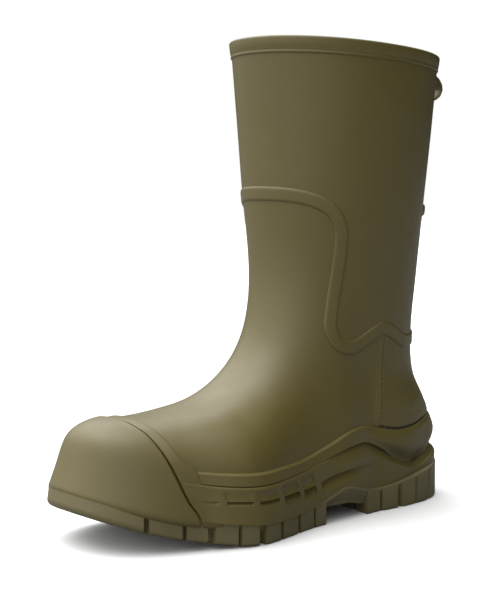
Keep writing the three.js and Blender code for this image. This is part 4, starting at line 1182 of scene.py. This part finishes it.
# ---------------------------------------------------------------------------------------------
# Floor, lights and camera: a plain pale studio with a broad soft light from the toe's side, a
# smaller one overhead and a soft sun, and the camera low on the outer side of the toe.
# ---------------------------------------------------------------------------------------------
floor_mesh = bpy.data.meshes.new("studio_floor")
floor_mesh.from_pydata([(-6, -6, 0), (6, -6, 0), (6, 6, 0), (-6, 6, 0)], [], [(0, 1, 2, 3)])
floor = bpy.data.objects.new("studio_floor", floor_mesh)
bpy.context.scene.collection.objects.link(floor)
floor_material, floor_tree, floor_shader = shader("pale_floor")
seen_straight = add(floor_tree, "ShaderNodeLightPath")["Is Camera Ray"]
fill(floor_tree, floor_shader, Roughness=0.95, Specular_IOR_Level=0.0,
     Base_Color=blend(floor_tree, seen_straight, (0.22, 0.22, 0.22, 1), (0.92, 0.92, 0.92, 1)))
floor.data.materials.append(floor_material)

# the air of the studio: white behind the boot for the camera, and for the boot itself a large
# bright side ahead of its toe that falls off to a dim side behind its heel
world = bpy.data.worlds.new("studio_air")
bpy.context.scene.world = world
world.use_nodes = True
air = world.node_tree
ray = add(air, "ShaderNodeTexCoord")["Generated"]


def glow(direction, low, high, strength):
    """Light from one direction: the ray's dot product with it, ramped from low to high."""
    toward = air.nodes.new("ShaderNodeVectorMath")
    toward.operation = "DOT_PRODUCT"
    toward.inputs[1].default_value = direction
    air.links.new(ray, toward.inputs[0])
    return add(air, "ShaderNodeMapRange", interpolation_type="SMOOTHSTEP", From_Min=low, From_Max=high,
               To_Min=0.0, To_Max=strength, Value=toward.outputs["Value"])["Result"]


broad_and_top = maths(air, "ADD", glow((-0.12, -0.84, 0.48), -0.35, 1.0, 1.54),
                      glow((-0.50, 0.10, 0.86), 0.6, 1.0, 2.6))
camera_ray = add(air, "ShaderNodeLightPath")["Is Camera Ray"]
strength = add(air, "ShaderNodeMix", data_type="FLOAT", Factor=camera_ray, A=broad_and_top, B=1.0)
fill(air, air.nodes["Background"], Color=(1, 1, 1, 1), Strength=strength["Result"])

sun_data = bpy.data.lights.new("soft_key", "SUN")
sun_data.energy = 1.05
sun_data.angle = 1.0
sun = bpy.data.objects.new("soft_key", sun_data)
bpy.context.scene.collection.objects.link(sun)
sun.rotation_mode = "QUATERNION"
sun.rotation_quaternion = Vector((-0.05, -0.36, 0.93)).to_track_quat("Z", "Y")

camera_data = bpy.data.cameras.new("camera")
camera_data.lens = 86.76
camera_data.sensor_width = 36
camera = bpy.data.objects.new("camera", camera_data)
bpy.context.scene.collection.objects.link(camera)
turn, rise, away = np.radians(51.6), np.radians(4.4), 0.917
back = np.array([np.sin(turn) * np.cos(rise), -np.cos(turn) * np.cos(rise), np.sin(rise)])
target = np.array([-0.0128, -0.060, 0.1346])
right = np.array([np.cos(turn), np.sin(turn), 0.0])
pose = np.eye(4)
pose[:3] = np.stack([right, np.cross(back, right), back, target + back * away], -1)
camera.matrix_world = Matrix(pose.tolist())
bpy.context.scene.camera = camera
bpy.context.scene.view_settings.view_transform = "Standard"
